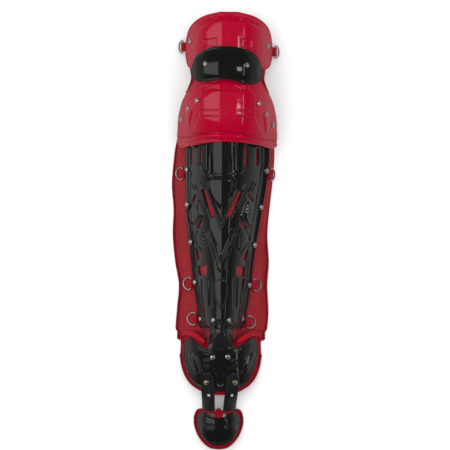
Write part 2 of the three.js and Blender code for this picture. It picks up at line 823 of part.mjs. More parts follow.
// The outline of a band of even width along a line, with mitred bends
function bandOutline(points, width) {
  const vectors = points.map(([x, y]) => new THREE.Vector2(x, y));
  const sides = [[], []];
  vectors.forEach((point, i) => {
    const into = vectors[Math.min(i + 1, vectors.length - 1)].clone().sub(vectors[Math.max(i - 1, 0)]);
    const across = new THREE.Vector2(-into.y, into.x).normalize().multiplyScalar(width / 2);
    sides[0].push([point.x + across.x, point.y + across.y]);
    sides[1].unshift([point.x - across.x, point.y - across.y]);
  });
  return [...sides[0], ...sides[1]];
}

// Places on the shells, from shares
function shinSpot({ across, at }) {
  return [across * SHIN_HALF_WIDTH * along(SHIN_ROWS, "at", "left", at), at * SHIN_LENGTH];
}
const spotOn = (shift, half, low, length) => ({ across, at }) => [shift + across * half, low + at * length];
const kneeSpot = spotOn(KNEE_SHIFT, KNEE_HALF_WIDTH, KNEE_LOW, KNEE_LENGTH);
const thighSpot = spotOn(THIGH_SHIFT, THIGH_HALF_WIDTH, THIGH_LOW, THIGH_LENGTH);
const capSpot = spotOn(CAP_SHIFT, CAP_HALF_WIDTH, CAP_LOW, CAP_HEIGHT);
const ankleSpot = spotOn(0, ANKLE_HALF_WIDTH, ANKLE_LOW, ANKLE_LENGTH);
const toeSpot = spotOn(TOE_SHIFT, TOE_HALF_WIDTH, TOE_LOW, TOE_LENGTH);

const bothSides = (forms) =>
  forms.flatMap((form) => [form, form.map((row) => ({ ...row, across: -row.across })).reverse()]);
const outlineOf = (form, spot) => form.map(spot);
const bandOf = (form, spot, width) => bandOutline(form.map(spot), width);

// Raised and sunk forms on a shell
function withRelief(base, net, surface, raised, sunk, pierced) {
  let solid = base;
  if (raised.length) {
    const skin = wall(net, surface, RELIEF_HEIGHT, -SHELL_WALL / 2);
    for (const outline of raised) solid = solid.add(skin.intersect(prism(outline)));
  }
  if (sunk.length) {
    const skin = wall(net, surface, SHELL_WALL, -RECESS_DEPTH);
    for (const outline of sunk) solid = solid.subtract(skin.intersect(prism(outline)));
  }
  for (const outline of pierced) solid = solid.subtract(prism(outline));
  return solid;
}

// The part of a solid above the floor
const FLOOR_BLOCK = 2000;
function aboveFloor(solid) {
  const block = new THREE.BoxGeometry(FLOOR_BLOCK, FLOOR_BLOCK, PRISM_TOP);
  return solid.subtract(solidOf(block.translate(0, 0, -PRISM_TOP / 2)));
}

// Shells
const BAND_SHARES = [0, 0.3, 0.65, 1];

function makeShinPlate() {
  const net = shinPlateNet();
  const raised = [
    ...bothSides(SHIN_PANELS).map((form) => outlineOf(form, shinSpot)),
    ...SHIN_CENTRE_PANELS.map((form) => outlineOf(form, shinSpot)),
    ...bothSides(SHIN_RIBS).map((form) => bandOf(form, shinSpot, RIB_WIDTH)),
  ];
  const pierced = [
    ...bothSides(SHIN_SLOTS).map((form) => bandOf(form, shinSpot, SLOT_WIDTH)),
    ...bothSides(SHIN_WINDOWS).map((form) => outlineOf(form, shinSpot)),
  ];
  return withRelief(wall(net, shinSurface, 0, -SHELL_WALL), net, shinSurface, raised, [], pierced);
}

function makeKneeCap() {
  const raised = [
    bandOutline(kneeNet[0], 2 * KNEE_LIP_WIDTH),
    outlineOf(KNEE_PANEL, kneeSpot),
    bandOf(KNEE_RIB, kneeSpot, RIB_WIDTH),
  ];
  return withRelief(wall(kneeNet, kneeSurface, 0, -SHELL_WALL), kneeNet, kneeSurface, raised, [], []);
}

function makeThighGuard() {
  const raised = [outlineOf(THIGH_PANEL, thighSpot)];
  const sunk = THIGH_NOTCHES.map((form) => outlineOf(form, thighSpot));
  return withRelief(wall(thighNet, thighSurface, 0, -SHELL_WALL), thighNet, thighSurface, raised, sunk, []);
}

function makeCap() {
  const net = columnNet(CAP_COLUMNS, BAND_SHARES, CAP_SHIFT, CAP_HALF_WIDTH, CAP_LOW, CAP_HEIGHT);
  return wall(net, capSurface, 0, -SHELL_WALL);
}

function makeAnklePlate() {
  const raised = ANKLE_RIBS.map((form) => bandOf(form, ankleSpot, RIB_WIDTH));
  return withRelief(wall(ankleNet, ankleSurface, 0, -SHELL_WALL), ankleNet, ankleSurface, raised, [], []);
}

function makeToePlate() {
  const raised = [outlineOf(TOE_PANEL, toeSpot)];
  return withRelief(wall(toeNet, toeSurface, 0, -SHELL_WALL), toeNet, toeSurface, raised, [], []);
}

// Padding under the shells: cut level at the floor, and clear of each shell and strap over it
const PAD_BOTTOM = UNDER_SHELL - PAD_WALL;
const CARVE_TOP = 30;

function padOf(net, surface, bottom, over) {
  let solid = aboveFloor(wall(net, surface, UNDER_SHELL, bottom));
  for (const piece of over) {
    solid = solid.subtract(wall(piece.net, piece.surface, CARVE_TOP, piece.bottom - CLEARANCE));
  }
  return solid;
}

const kneeNet = rowNet(KNEE_ROWS, SHELL_ACROSS, KNEE_SHIFT, KNEE_HALF_WIDTH, KNEE_LOW, KNEE_LENGTH, KNEE_BOW);
const thighNet = rowNet(THIGH_ROWS, SHELL_ACROSS, THIGH_SHIFT, THIGH_HALF_WIDTH, THIGH_LOW, THIGH_LENGTH, 0);
const ankleNet = columnNet(ANKLE_COLUMNS, BAND_SHARES, 0, ANKLE_HALF_WIDTH, ANKLE_LOW, ANKLE_LENGTH);
const toeNet = columnNet(TOE_COLUMNS, BAND_SHARES, TOE_SHIFT, TOE_HALF_WIDTH, TOE_LOW, TOE_LENGTH);

function makeShinPad() {
  return padOf(shinPadNet(), shinSurface, PAD_BOTTOM, [
    { net: linkNet(STRAP_BED), surface: linkSurface, bottom: LINK_BOTTOM - STRAP_BED },
  ]);
}

const UPPER_ACROSS = [
  -1.07, -0.97, -0.86, -0.72, -0.55, -0.36, -0.18, 0, 0.18, 0.36, 0.55, 0.72, 0.86, 0.97, 1.07,
];
function makeUpperPad() {
  const low = SHIN_LENGTH + CLEARANCE;
  const length = THIGH_LOW + THIGH_LENGTH - low;
  const net = rowNet(WAIST_ROWS, UPPER_ACROSS, KNEE_SHIFT, KNEE_HALF_WIDTH, low, length, 0);
  return padOf(net, upperSurface, PAD_BOTTOM, [
    { net: kneeNet, surface: kneeSurface, bottom: -SHELL_WALL },
    { net: thighNet, surface: thighSurface, bottom: -SHELL_WALL },
  ]);
}

function makeAnklePad() {
  const half = ANKLE_PAD_HALF_WIDTH + WING_SKIRT;
  const net = columnNet(ANKLE_PAD_COLUMNS, BAND_SHARES, 0, half, ANKLE_PAD_LOW, ANKLE_PAD_LENGTH);
  return padOf(net, ankleSurface, PAD_BOTTOM, [
    { net: ankleNet, surface: ankleSurface, bottom: -SHELL_WALL },
    { net: linkNet(STRAP_BED), surface: linkSurface, bottom: LINK_BOTTOM - STRAP_BED },
  ]);
}

const TOE_PAD_SHARES = [0, 0.12, 0.3, 0.65, 1];
function makeToePad() {
  const net = columnNet(
    TOE_PAD_COLUMNS, TOE_PAD_SHARES, TOE_SHIFT, TOE_PAD_HALF_WIDTH, TOE_PAD_LOW, TOE_PAD_LENGTH,
  );
  return padOf(net, toeSurface, UNDER_SHELL - TOE_PAD_WALL, [
    { net: toeNet, surface: toeSurface, bottom: -SHELL_WALL },
    ...[-1, 1].map((side) => ({
      net: toeStrapNet(side, STRAP_BED),
      surface: toeStrapSurface,
      bottom: -STRAP_WALL - STRAP_BED,
    })),
  ]);
}

// Straps. The link strap lies under both plates, the toe straps on the ankle plate and under the toe plate.
const LINK_TOP = -(SHELL_WALL + SEAT);
const LINK_BOTTOM = LINK_TOP - STRAP_WALL;
const STRAP_BED = 2 * SEAT;
const ANKLE_TOP = ANKLE_LOW + ANKLE_LENGTH * along(ANKLE_COLUMNS, "across", "high", 0);
const STRAP_SHARES = [0, 0.2, 0.4, 0.6, 0.8, 1];
const STRAP_ACROSS = [-1, -0.5, 0, 0.5, 1];
const ease = (share) => share * share * (3 - 2 * share);

function linkSurface(x, y) {
  return mix(ankleSurface(x, y), shinSurface(x, y), ease(clampShare((y - ANKLE_TOP) / -ANKLE_TOP)));
}
function linkNet(margin) {
  const low = ANKLE_TOP - LINK_TUCK - margin;
  const high = LINK_TUCK + margin;
  return STRAP_SHARES.map((share) =>
    STRAP_ACROSS.map((across) => [across * (LINK_WIDTH / 2 + margin), mix(low, high, share)]),
  );
}

const FOOT_SHARE = along(ANKLE_COLUMNS, "across", "low", TOE_STRAP_SPREAD / ANKLE_HALF_WIDTH);
const ANKLE_FOOT = ANKLE_LOW + ANKLE_LENGTH * FOOT_SHARE;
const TOE_TOP = TOE_LOW + TOE_LENGTH;
function toeStrapSurface(x, y) {
  const onAnkle = ankleSurface(x, y) + (SEAT + STRAP_WALL) / normalAt(ankleSurface, x, y).z;
  const underToe = toeSurface(x, y) - (SHELL_WALL + PAD_SEAT) / normalAt(toeSurface, x, y).z;
  return mix(onAnkle, underToe, ease(clampShare((ANKLE_FOOT - y) / (ANKLE_FOOT - TOE_TOP))));
}
function toeStrapNet(side, margin) {
  const high = ANKLE_FOOT + TOE_STRAP_ON_PLATE + margin;
  const low = TOE_TOP - TOE_STRAP_TUCK - margin;
  return TOE_STRAP_ROWS.map((row) => {
    const y = mix(low, high, row.at);
    const centre = side * mix(TOE_STRAP_TOE_SPREAD, TOE_STRAP_SPREAD, row.at) + TOE_SHIFT * (1 - row.at);
    const half = (TOE_STRAP_WIDTH / 2) * row.half + margin;
    return STRAP_ACROSS.map((across) => [centre + across * half, y]);
  });
}

function makeLinkStrap() {
  return wall(linkNet(0), linkSurface, LINK_TOP, LINK_BOTTOM);
}
function makeToeStrap(side) {
  const [x, y] = [side * PUNCH_SPREAD, ANKLE_LOW - PUNCH_DROP];
  const punch = new THREE.CylinderGeometry(PUNCH_DIAMETER / 2, PUNCH_DIAMETER / 2, PRISM_TOP, PUNCH_SIDES);
  punch.rotateX(Math.PI / 2).translate(x, y, PRISM_TOP / 2);
  return wall(toeStrapNet(side, 0), toeStrapSurface, 0, -STRAP_WALL).subtract(solidOf(punch));
}

// Domed rivet heads, turned to the surface that they sit on
const RIVET_SIDES = 8;
function rivetGeometry() {
  const radius = RIVET_DIAMETER / 2;
  const profile = [
    [0, 0],
    [radius, 0],
    [radius * 0.82, RIVET_HEIGHT * 0.62],
    [0, RIVET_HEIGHT],
  ];
  const points = profile.map(([x, y]) => new THREE.Vector2(x, y));
  return new THREE.LatheGeometry(points, RIVET_SIDES).rotateX(Math.PI / 2);
}
const UP = new THREE.Vector3(0, 0, 1);
function seated(geometry, surface, x, y) {
  const normal = normalAt(surface, x, y);
  const turn = new THREE.Quaternion().setFromUnitVectors(UP, normal);
  const foot = pointOn(surface, x, y, 0);
  let rise = 0;
  for (let k = 0; k < RIVET_SIDES; k++) {
    const angle = (2 * Math.PI * k) / RIVET_SIDES;
    const rim = new THREE.Vector3(Math.cos(angle), Math.sin(angle), 0).multiplyScalar(RIVET_DIAMETER / 2);
    rim.applyQuaternion(turn).add(foot);
    rise = Math.max(rise, (surface(rim.x, rim.y) - rim.z) * normal.z);
  }
  const point = pointOn(surface, x, y, rise + SEAT);
  return geometry.applyQuaternion(turn).translate(point.x, point.y, point.z);
}

// D-rings: a straight bar in the webbing's loop and a round bow, drawn in the plane X outward, Y along
function ringGeometry() {
  const half = (RING_LENGTH - RING_WIRE) / 2;
  const outline = RING_OUTLINE.map(({ out, side }) => new THREE.Vector3(out * RING_REACH, side * half, 0));
  const curve = new THREE.CatmullRomCurve3(outline, true, "centripetal");
  return new THREE.TubeGeometry(curve, RING_STEPS, RING_WIRE / 2, RING_SIDES, true);
}
const LOOP_HOLE = RING_WIRE / 2 + CLEARANCE;
const LOOP_RADIUS = LOOP_HOLE + TAB_WALL;
function tabGeometry() {
  const shape = new THREE.Shape();
  shape.moveTo(-TAB_TAIL, -LOOP_RADIUS);
  shape.lineTo(0, -LOOP_RADIUS);
  shape.absarc(0, 0, LOOP_RADIUS, -Math.PI / 2, Math.PI / 2, false);
  shape.lineTo(-TAB_TAIL, TAB_WALL);
  const hole = new THREE.Path();
  hole.absarc(0, 0, LOOP_HOLE, 0, 2 * Math.PI, true);
  shape.holes.push(hole);
  const settings = { depth: TAB_WIDTH, bevelEnabled: false, curveSegments: LOOP_STEPS };
  const geometry = new THREE.ExtrudeGeometry(shape, settings);
  return geometry.translate(0, 0, -TAB_WIDTH / 2).rotateX(Math.PI / 2);
}

const pieces = new Map();
const add = (name, solid, look) => pieces.set(name, { geometry: geometryOf(solid), look });
const addRaw = (name, geometry, look) => pieces.set(name, { geometry, look });

add("shin_plate", makeShinPlate(), BLACK_SHELL);
add("knee_cap", makeKneeCap(), RED_SHELL);
add("thigh_guard", makeThighGuard(), RED_SHELL);
add("upper_knee_cap", makeCap(), BLACK_SHELL);
add("ankle_plate", makeAnklePlate(), BLACK_SHELL);
add("toe_plate", makeToePlate(), BLACK_SHELL);
add("shin_pad", makeShinPad(), RED_CLOTH);
add("upper_pad", makeUpperPad(), RED_CLOTH);
add("ankle_pad", makeAnklePad(), RED_CLOTH);
add("toe_pad", makeToePad(), RED_CLOTH);
add("link_strap", makeLinkStrap(), BLACK_STRAP);
add("toe_strap_left", makeToeStrap(-1), BLACK_STRAP);
add("toe_strap_right", makeToeStrap(1), BLACK_STRAP);

function addRivets(prefix, rows, spot, surface, look) {
  for (const row of rows) {
    const [x, y] = spot(row);
    addRaw(prefix + row.name, seated(rivetGeometry(), surface, x, y), look);
  }
}
function shinEdgeSpot({ across, at }) {
  const half = SHIN_HALF_WIDTH * along(SHIN_ROWS, "at", across < 0 ? "left" : "right", at);
  return [across * half, at * SHIN_LENGTH];
}
addRivets("rivet_shin_", SHIN_RIVETS, shinEdgeSpot, shinSurface, STEEL);
addRivets("rivet_shin_", SHIN_FOOT_RIVETS, shinSpot, shinSurface, STEEL);
addRivets("rivet_knee_", KNEE_RIVETS, kneeSpot, kneeSurface, STEEL);
addRivets("rivet_thigh_", THIGH_RIVETS, thighSpot, thighSurface, STEEL);
addRivets("rivet_cap_", CAP_RIVETS, capSpot, capSurface, STEEL);
addRivets("rivet_ankle_", ANKLE_RIVETS, ankleSpot, ankleSurface, STEEL);
addRivets("rivet_strap_", STRAP_RIVETS, ankleSpot, toeStrapSurface, BRASS);

// Ring and tab together: the bar lies in the tab's loop, and the ring leans out from it
function addRing(name, side, centre, slope) {
  const turn = new THREE.Matrix4().makeRotationY(side > 0 ? slope : -slope);
  if (side < 0) turn.multiply(new THREE.Matrix4().makeRotationZ(Math.PI));
  const place = new THREE.Matrix4().makeTranslation(centre.x, centre.y, centre.z).multiply(turn);
  addRaw("ring_" + name, ringGeometry().applyMatrix4(place), STEEL);
  addRaw("tab_" + name, tabGeometry().applyMatrix4(place), RED_WEB);
}
for (const { name, side, at } of RING_PLACES) {
  const half = SHIN_HALF_WIDTH * along(SHIN_ROWS, "at", side < 0 ? "left" : "right", at);
  const [x, y] = [side * (half + RING_MARGIN), at * SHIN_LENGTH];
  const normal = normalAt(shinSurface, x, y);
  const centre = pointOn(shinSurface, x, y, UNDER_SHELL + LOOP_RADIUS + SEAT);
  addRing(name, side, centre, Math.atan2(Math.abs(normal.x), normal.z));
}
for (const { name, side, at } of THIGH_RING_PLACES) {
  const y = THIGH_LOW + at * THIGH_LENGTH;
  const x = THIGH_SHIFT + side * (THIGH_HALF_WIDTH + THIGH_RING_MARGIN);
  const edge = thighSurface(THIGH_SHIFT + side * THIGH_HALF_WIDTH, y);
  const centre = new THREE.Vector3(x, y, edge - THIGH_RING_DROP);
  addRing(name, side, centre, THREE.MathUtils.degToRad(THIGH_RING_SLOPE));
}

// The group is moved so that its origin is the middle of the whole part's underside
const legGuard = new THREE.Group();
const materials = new Map();
function materialOf(look) {
  if (!materials.has(look)) materials.set(look, new THREE.MeshStandardMaterial(look));
  return materials.get(look).clone();
}
const box = new THREE.Box3();
for (const [name, { geometry, look }] of pieces) {
  const mesh = new THREE.Mesh(geometry, materialOf(look));
  mesh.name = name;
  legGuard.add(mesh);
  geometry.computeBoundingBox();
  box.union(geometry.boundingBox);
}
legGuard.position.set(-(box.min.x + box.max.x) / 2, -(box.min.y + box.max.y) / 2, -box.min.z);

export default legGuard;
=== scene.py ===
import math

import bpy
import numpy as np
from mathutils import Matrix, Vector


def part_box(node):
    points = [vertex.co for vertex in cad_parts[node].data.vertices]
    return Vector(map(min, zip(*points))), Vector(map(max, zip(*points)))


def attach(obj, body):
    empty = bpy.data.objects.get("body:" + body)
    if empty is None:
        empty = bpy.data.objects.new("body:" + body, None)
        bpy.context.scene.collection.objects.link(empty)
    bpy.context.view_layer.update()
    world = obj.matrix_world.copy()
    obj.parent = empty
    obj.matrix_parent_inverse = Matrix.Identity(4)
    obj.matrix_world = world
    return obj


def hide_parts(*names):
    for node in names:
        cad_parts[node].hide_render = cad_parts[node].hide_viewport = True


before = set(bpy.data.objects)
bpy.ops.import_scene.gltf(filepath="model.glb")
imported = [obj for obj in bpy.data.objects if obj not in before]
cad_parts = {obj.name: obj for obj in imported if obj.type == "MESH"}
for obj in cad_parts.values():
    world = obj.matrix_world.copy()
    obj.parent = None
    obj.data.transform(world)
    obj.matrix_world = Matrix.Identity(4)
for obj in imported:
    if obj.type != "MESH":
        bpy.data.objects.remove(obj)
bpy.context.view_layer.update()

# A catcher's leg guard. Lengths are in millimetres on the drawing, whose origin is on the shin's crest line
# at the ankle end of the shin plate. Places on the photo are in pixels of its 450 pixel frame.
MM = 0.001
DRAWING_TO_FRAME = np.array([-6.0203, -162.75, 0.0])
PX = 1.65
PX_ROW_OF_ORIGIN = 329.0
PX_CREST_ROW, PX_CREST_COLUMN, PX_CREST_LEAN = 320, 221, 0.00923

SHELL_WALL, PAD_WALL, TOE_PAD_WALL, STRAP_WALL = 3.0, 12.0, 7.0, 2.5
SEAT, PAD_SEAT, CLEARANCE = 0.6, 1.05, 0.35
UNDER_SHELL = -(SHELL_WALL + PAD_SEAT)
GRID_STEP, FINE_STEP, PAD_STEP = 1.15, 0.95, 2.0
ROUND_EDGE = 1.2
RELIEF_GAIN, RELIEF_NARROWING = 1.4, 0.92
SHELL_SHARP, SOFT_SHARP, ROUND_SHARP = 40.0, 75.0, 80.0

SHIN_LENGTH, SHIN_HALF, SHIN_RISE = 322.0, 62.0, 88.0
KNEE_LENGTH, KNEE_HALF, KNEE_RISE, KNEE_SHIFT, KNEE_BOW = 116.0, 82.5, 113.0, 7.3, 11.0
THIGH_LENGTH, THIGH_HALF, THIGH_RISE, THIGH_SHIFT = 94.0, 72.5, 92.0, 8.9
CAP_HEIGHT, CAP_HALF, CAP_RISE, CAP_SHIFT = 64.0, 58.0, 114.0, 5.6
ANKLE_LENGTH, ANKLE_HALF, ANKLE_RISE = 89.0, 61.5, 58.0
TOE_LENGTH, TOE_HALF, TOE_RISE, TOE_SHIFT = 54.0, 36.5, 38.0, -2.6
KNEE_OVERLAP, CAP_OVERLAP = 25.0, 11.0
WAIST_GAP, ANKLE_GAP, TOE_GAP = 16.0, 14.5, 35.5
PAD_MARGIN, ANKLE_PAD_ROLL, ANKLE_PAD_SIDE, TOE_PAD_TONGUE = 4.5, 11.5, 6.5, 9.5

KNEE_LOW = SHIN_LENGTH - KNEE_OVERLAP
THIGH_LOW = KNEE_LOW + KNEE_LENGTH + WAIST_GAP
CAP_LOW = KNEE_LOW + KNEE_LENGTH - CAP_OVERLAP
ANKLE_LOW = -ANKLE_GAP - ANKLE_LENGTH
TOE_LOW = ANKLE_LOW - TOE_GAP - TOE_LENGTH
TOE_TOP = TOE_LOW + TOE_LENGTH
ANKLE_PAD_LENGTH, ANKLE_PAD_HALF = ANKLE_LENGTH + PAD_MARGIN + ANKLE_PAD_ROLL, ANKLE_HALF + ANKLE_PAD_SIDE
TOE_PAD_LENGTH, TOE_PAD_HALF = TOE_LENGTH + PAD_MARGIN + TOE_PAD_TONGUE, TOE_HALF + PAD_MARGIN
ANKLE_PAD_LOW, TOE_PAD_LOW = ANKLE_LOW - PAD_MARGIN, TOE_LOW - PAD_MARGIN

# A piece's place on the drawing: shift across, half width, low end, length
KNEE = (KNEE_SHIFT, KNEE_HALF, KNEE_LOW, KNEE_LENGTH)
THIGH = (THIGH_SHIFT, THIGH_HALF, THIGH_LOW, THIGH_LENGTH)
CAP = (CAP_SHIFT, CAP_HALF, CAP_LOW, CAP_HEIGHT)
ANKLE = (0.0, ANKLE_HALF, ANKLE_LOW, ANKLE_LENGTH)
TOE = (TOE_SHIFT, TOE_HALF, TOE_LOW, TOE_LENGTH)

LINK_WIDTH, LINK_TUCK = 46.0, 12.0
TOE_STRAP_WIDTH, TOE_STRAP_SPREAD, TOE_STRAP_TOE_SPREAD = 22.0, 22.0, 16.0
TOE_STRAP_ON_PLATE, TOE_STRAP_TUCK = 27.0, 10.0
PUNCH_SPREAD, PUNCH_DROP, PUNCH_RADIUS = 19.5, 6.5, 2.5
RING_REACH, RING_HALF_LENGTH, RING_WIRE = 14.0, 10.05, 2.4
TAB_WIDTH, TAB_TAIL, TAB_OUTER, TAB_WALL = 15.0, 3.4, 3.15, 1.6


def table(*rows):
    return np.array(rows, float)


# Columns: across, height
SHIN_SECTION = table((0, 1), (0.2, 0.95), (0.42, 0.84), (0.62, 0.67), (0.78, 0.47), (0.88, 0.32), (1, 0.25))
DOME_SECTION = table((0, 1), (0.2, 0.978), (0.4, 0.91), (0.6, 0.785), (0.76, 0.62), (0.88, 0.44), (1, 0.25))
CAP_SECTION = table((0, 1), (0.3, 0.98), (0.6, 0.915), (0.85, 0.8), (1, 0.69))
# Columns: at, left, right, crest
SHIN_ROWS = table(
    (0, 0.54, 0.56, 0.74), (0.02, 0.6, 0.62, 0.745), (0.1, 0.645, 0.7, 0.77), (0.226, 0.753, 0.795, 0.815),
    (0.344, 0.823, 0.862, 0.858), (0.482, 0.907, 0.961, 0.9), (0.61, 0.968, 1.075, 0.935),
    (0.738, 0.99, 1.184, 0.963), (0.867, 1, 1.25, 0.985), (0.93, 1, 1.255, 0.993), (1, 1, 1.25, 1),
)
# Columns: at, left, right
SHIN_PAD_ROWS = table(
    (-0.01, 1.16, 1.17), (0, 1.2, 1.22), (0.1, 1.17, 1.25), (0.226, 1.126, 1.216), (0.344, 1.23, 1.25),
    (0.482, 1.3, 1.205), (0.61, 1.285, 1.25), (0.738, 1.335, 1.32), (0.867, 1.29, 1.37), (0.93, 1.25, 1.365),
    (1, 1.17, 1.3),
)
# Columns: at, half, bow
KNEE_ROWS = table(
    (0, 0.92, 1), (0.035, 0.975, 0.92), (0.13, 1, 0.65), (0.27, 1, 0.3), (0.42, 0.99, 0), (0.56, 0.955, 0),
    (0.7, 0.895, 0), (0.82, 0.8, 0), (0.93, 0.7, 0), (1, 0.62, 0),
)
THIGH_ROWS = table(
    (0, 0.87, 0), (0.05, 0.94, 0), (0.17, 0.985, 0), (0.35, 1, 0), (0.52, 0.98, 0), (0.66, 0.94, 0),
    (0.77, 0.86, 0), (0.87, 0.71, 0), (0.94, 0.52, 0), (1, 0.2, 0),
)
WAIST_ROWS = table(
    (0, 0.8, 0), (0.12, 0.94, 0), (0.3, 0.86, 0), (0.37, 0.785, 0), (0.44, 0.725, 0), (0.5, 0.735, 0),
    (0.545, 0.76, 0), (0.6, 0.8, 0), (0.7, 0.86, 0), (0.82, 0.81, 0), (0.9, 0.68, 0), (0.96, 0.48, 0),
    (0.995, 0.2, 0),
)
# Columns: at, crest
KNEE_CREST = table((0, 0.86), (0.2, 0.93), (0.45, 1), (0.7, 0.985), (0.85, 0.95), (1, 0.89))
THIGH_CREST = table((0, 1), (0.5, 0.985), (0.8, 0.94), (0.92, 0.885), (1, 0.82))
CAP_CREST = table((0, 0.94), (0.3, 1), (0.6, 0.985), (1, 0.89))
ANKLE_CREST = table((0, 0.74), (0.3, 0.83), (0.7, 0.93), (1, 1))
TOE_CREST = table((0, 0.72), (0.2, 0.85), (0.5, 0.97), (0.8, 1), (1, 0.96))
# Columns: across, low, high
CAP_COLUMNS = table(
    (-1, 0.24, 0.48), (-0.9, 0.11, 0.7), (-0.75, 0.07, 0.84), (-0.5, 0.085, 0.95), (-0.22, 0.12, 0.993),
    (0, 0.13, 1), (0.22, 0.1, 0.985), (0.5, 0.04, 0.933), (0.75, 0.018, 0.84), (0.9, 0.06, 0.69),
    (1, 0.21, 0.46),
)
ANKLE_COLUMNS = table(
    (-1, 0.62, 0.86), (-0.93, 0.42, 0.965), (-0.85, 0.28, 0.995), (-0.7, 0.13, 0.91), (-0.45, 0.05, 0.82),
    (-0.2, 0.015, 0.78), (0, 0, 0.765), (0.2, 0.015, 0.78), (0.45, 0.06, 0.83), (0.7, 0.15, 0.92),
    (0.85, 0.33, 0.995), (0.93, 0.46, 0.975), (1, 0.68, 0.86),
)
ANKLE_PAD_HALVES = table(
    (0, 0, 0.787), (0.2, 0.008, 0.8), (0.4, 0.04, 0.858), (0.58, 0.095, 0.935), (0.73, 0.165, 0.985),
    (0.87, 0.29, 0.985), (0.96, 0.46, 0.945), (1, 0.62, 0.86),
)
TOE_HALVES = table(
    (0, 0, 0.86), (0.3, 0.035, 0.9), (0.55, 0.13, 0.965), (0.75, 0.27, 1), (0.9, 0.46, 0.96), (1, 0.66, 0.84),
)
TOE_PAD_HALVES = table(
    (0, 0, 0.97), (0.15, 0.005, 0.9), (0.35, 0.03, 0.885), (0.55, 0.11, 0.92), (0.72, 0.22, 0.95),
    (0.87, 0.36, 0.93), (0.96, 0.5, 0.85), (1, 0.61, 0.76),
)


def mirrored(halves):
    left = halves[:0:-1].copy()
    left[:, 0] *= -1
    return np.vstack([left, halves])


ANKLE_PAD_COLUMNS, TOE_COLUMNS, TOE_PAD_COLUMNS = map(mirrored, (ANKLE_PAD_HALVES, TOE_HALVES, TOE_PAD_HALVES))


def along(rows, column, place):
    """Smooth curve through one column of a table, level past both ends."""
    keys, values = rows[:, 0], rows[:, column]
    place = np.clip(np.asarray(place, float), keys[0], keys[-1])
    last = len(keys) - 1
    i = np.clip(np.searchsorted(keys, place) - 1, 0, last - 1)

    def slope(a, b):
        return (values[b] - values[a]) / (keys[b] - keys[a])
    before, after = slope(np.maximum(i - 1, 0), i + 1), slope(i, np.minimum(i + 2, last))
    step = keys[i + 1] - keys[i]
    t = (place - keys[i]) / step
    rise = values[i + 1] - values[i]
    return (values[i] + t * before * step + t**2 * (3 * rise - (2 * before + after) * step)
            + t**3 * ((before + after) * step - 2 * rise))


def mix(a, b, share):
    return a + (b - a) * share


def ease(share):
    share = np.clip(share, 0, 1)
    return share * share * (3 - 2 * share)


# Outer surfaces, as heights over X and Y
ANKLE_TOP = ANKLE_LOW + ANKLE_LENGTH * float(along(ANKLE_COLUMNS, 2, 0))
ANKLE_FOOT = ANKLE_LOW + ANKLE_LENGTH * float(along(ANKLE_COLUMNS, 1, TOE_STRAP_SPREAD / ANKLE_HALF))


def section_height(section, across, floor_across):
    """Share of the crest's height, falling straight to the floor beyond the section's side."""
    flank = section[-1, 1] * (1 - (across - 1) / (floor_across - 1))
    return np.where(across <= 1, along(section, 1, across), flank)


def shin_width(rows):
    """Half width of a piece on the shin, which differs left and right of the crest line."""
    def half(x, y):
        at = y / SHIN_LENGTH
        return SHIN_HALF * np.where(x < 0, along(rows, 1, at), along(rows, 2, at))
    return half


shin_half, shin_pad_half = shin_width(SHIN_ROWS), shin_width(SHIN_PAD_ROWS)


def shin_surface(x, y):
    plate = shin_half(x, y)
    floor_across = (shin_pad_half(x, y) - UNDER_SHELL) / plate
    crest = SHIN_RISE * along(SHIN_ROWS, 3, y / SHIN_LENGTH)
    return crest * section_height(SHIN_SECTION, np.abs(x) / plate, floor_across)


def dome(section, crests, rise, place, skirt, lift=0.0):
    """Surface of a rounded shell, whose flank meets the floor at skirt, in half widths."""
    shift, half, low, length = place

    def surface(x, y):
        crest = rise * along(crests, 1, (y - low) / length)
        return crest * section_height(section, np.abs(x - shift) / half, skirt) + lift
    return surface


# The lifts are how far the CAD's knee cap and black cap stand above their drawn surfaces. KNEE_PANEL is how
# far the raised panel and the crest's curve bring the knee cap's top above its rise.
KNEE_PANEL = 2.1
RED_SKIRT, CAP_SKIRT = 1.035, 2.0
KNEE_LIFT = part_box("knee_cap")[1].z / MM - (KNEE_RISE + KNEE_PANEL)
CAP_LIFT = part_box("upper_knee_cap")[1].z / MM - CAP_RISE
ANKLE_SKIRT = (ANKLE_PAD_HALF - UNDER_SHELL) / ANKLE_HALF
TOE_SKIRT = (TOE_PAD_HALF - UNDER_SHELL) / TOE_HALF
knee_surface = dome(DOME_SECTION, KNEE_CREST, KNEE_RISE, KNEE, RED_SKIRT, KNEE_LIFT)
thigh_surface = dome(DOME_SECTION, THIGH_CREST, THIGH_RISE, THIGH, RED_SKIRT)
cap_surface = dome(CAP_SECTION, CAP_CREST, CAP_RISE, CAP, CAP_SKIRT, CAP_LIFT)
ankle_surface = dome(DOME_SECTION, ANKLE_CREST, ANKLE_RISE, ANKLE, ANKLE_SKIRT)
toe_surface = dome(DOME_SECTION, TOE_CREST, TOE_RISE, TOE, TOE_SKIRT)


def upper_surface(x, y):
    return mix(knee_surface(x, y), thigh_surface(x, y), ease((y - (THIGH_LOW - WAIST_GAP)) / WAIST_GAP))


def link_surface(x, y):
    return mix(ankle_surface(x, y), shin_surface(x, y), ease((y - ANKLE_TOP) / -ANKLE_TOP))


def normals(surface, x, y, probe=0.5):
    east = surface(x + probe, y) - surface(x - probe, y)
    north = surface(x, y + probe) - surface(x, y - probe)
    n = np.stack([-east, -north, np.full_like(east, 2 * probe)], -1)
    return n / np.linalg.norm(n, axis=-1, keepdims=True)


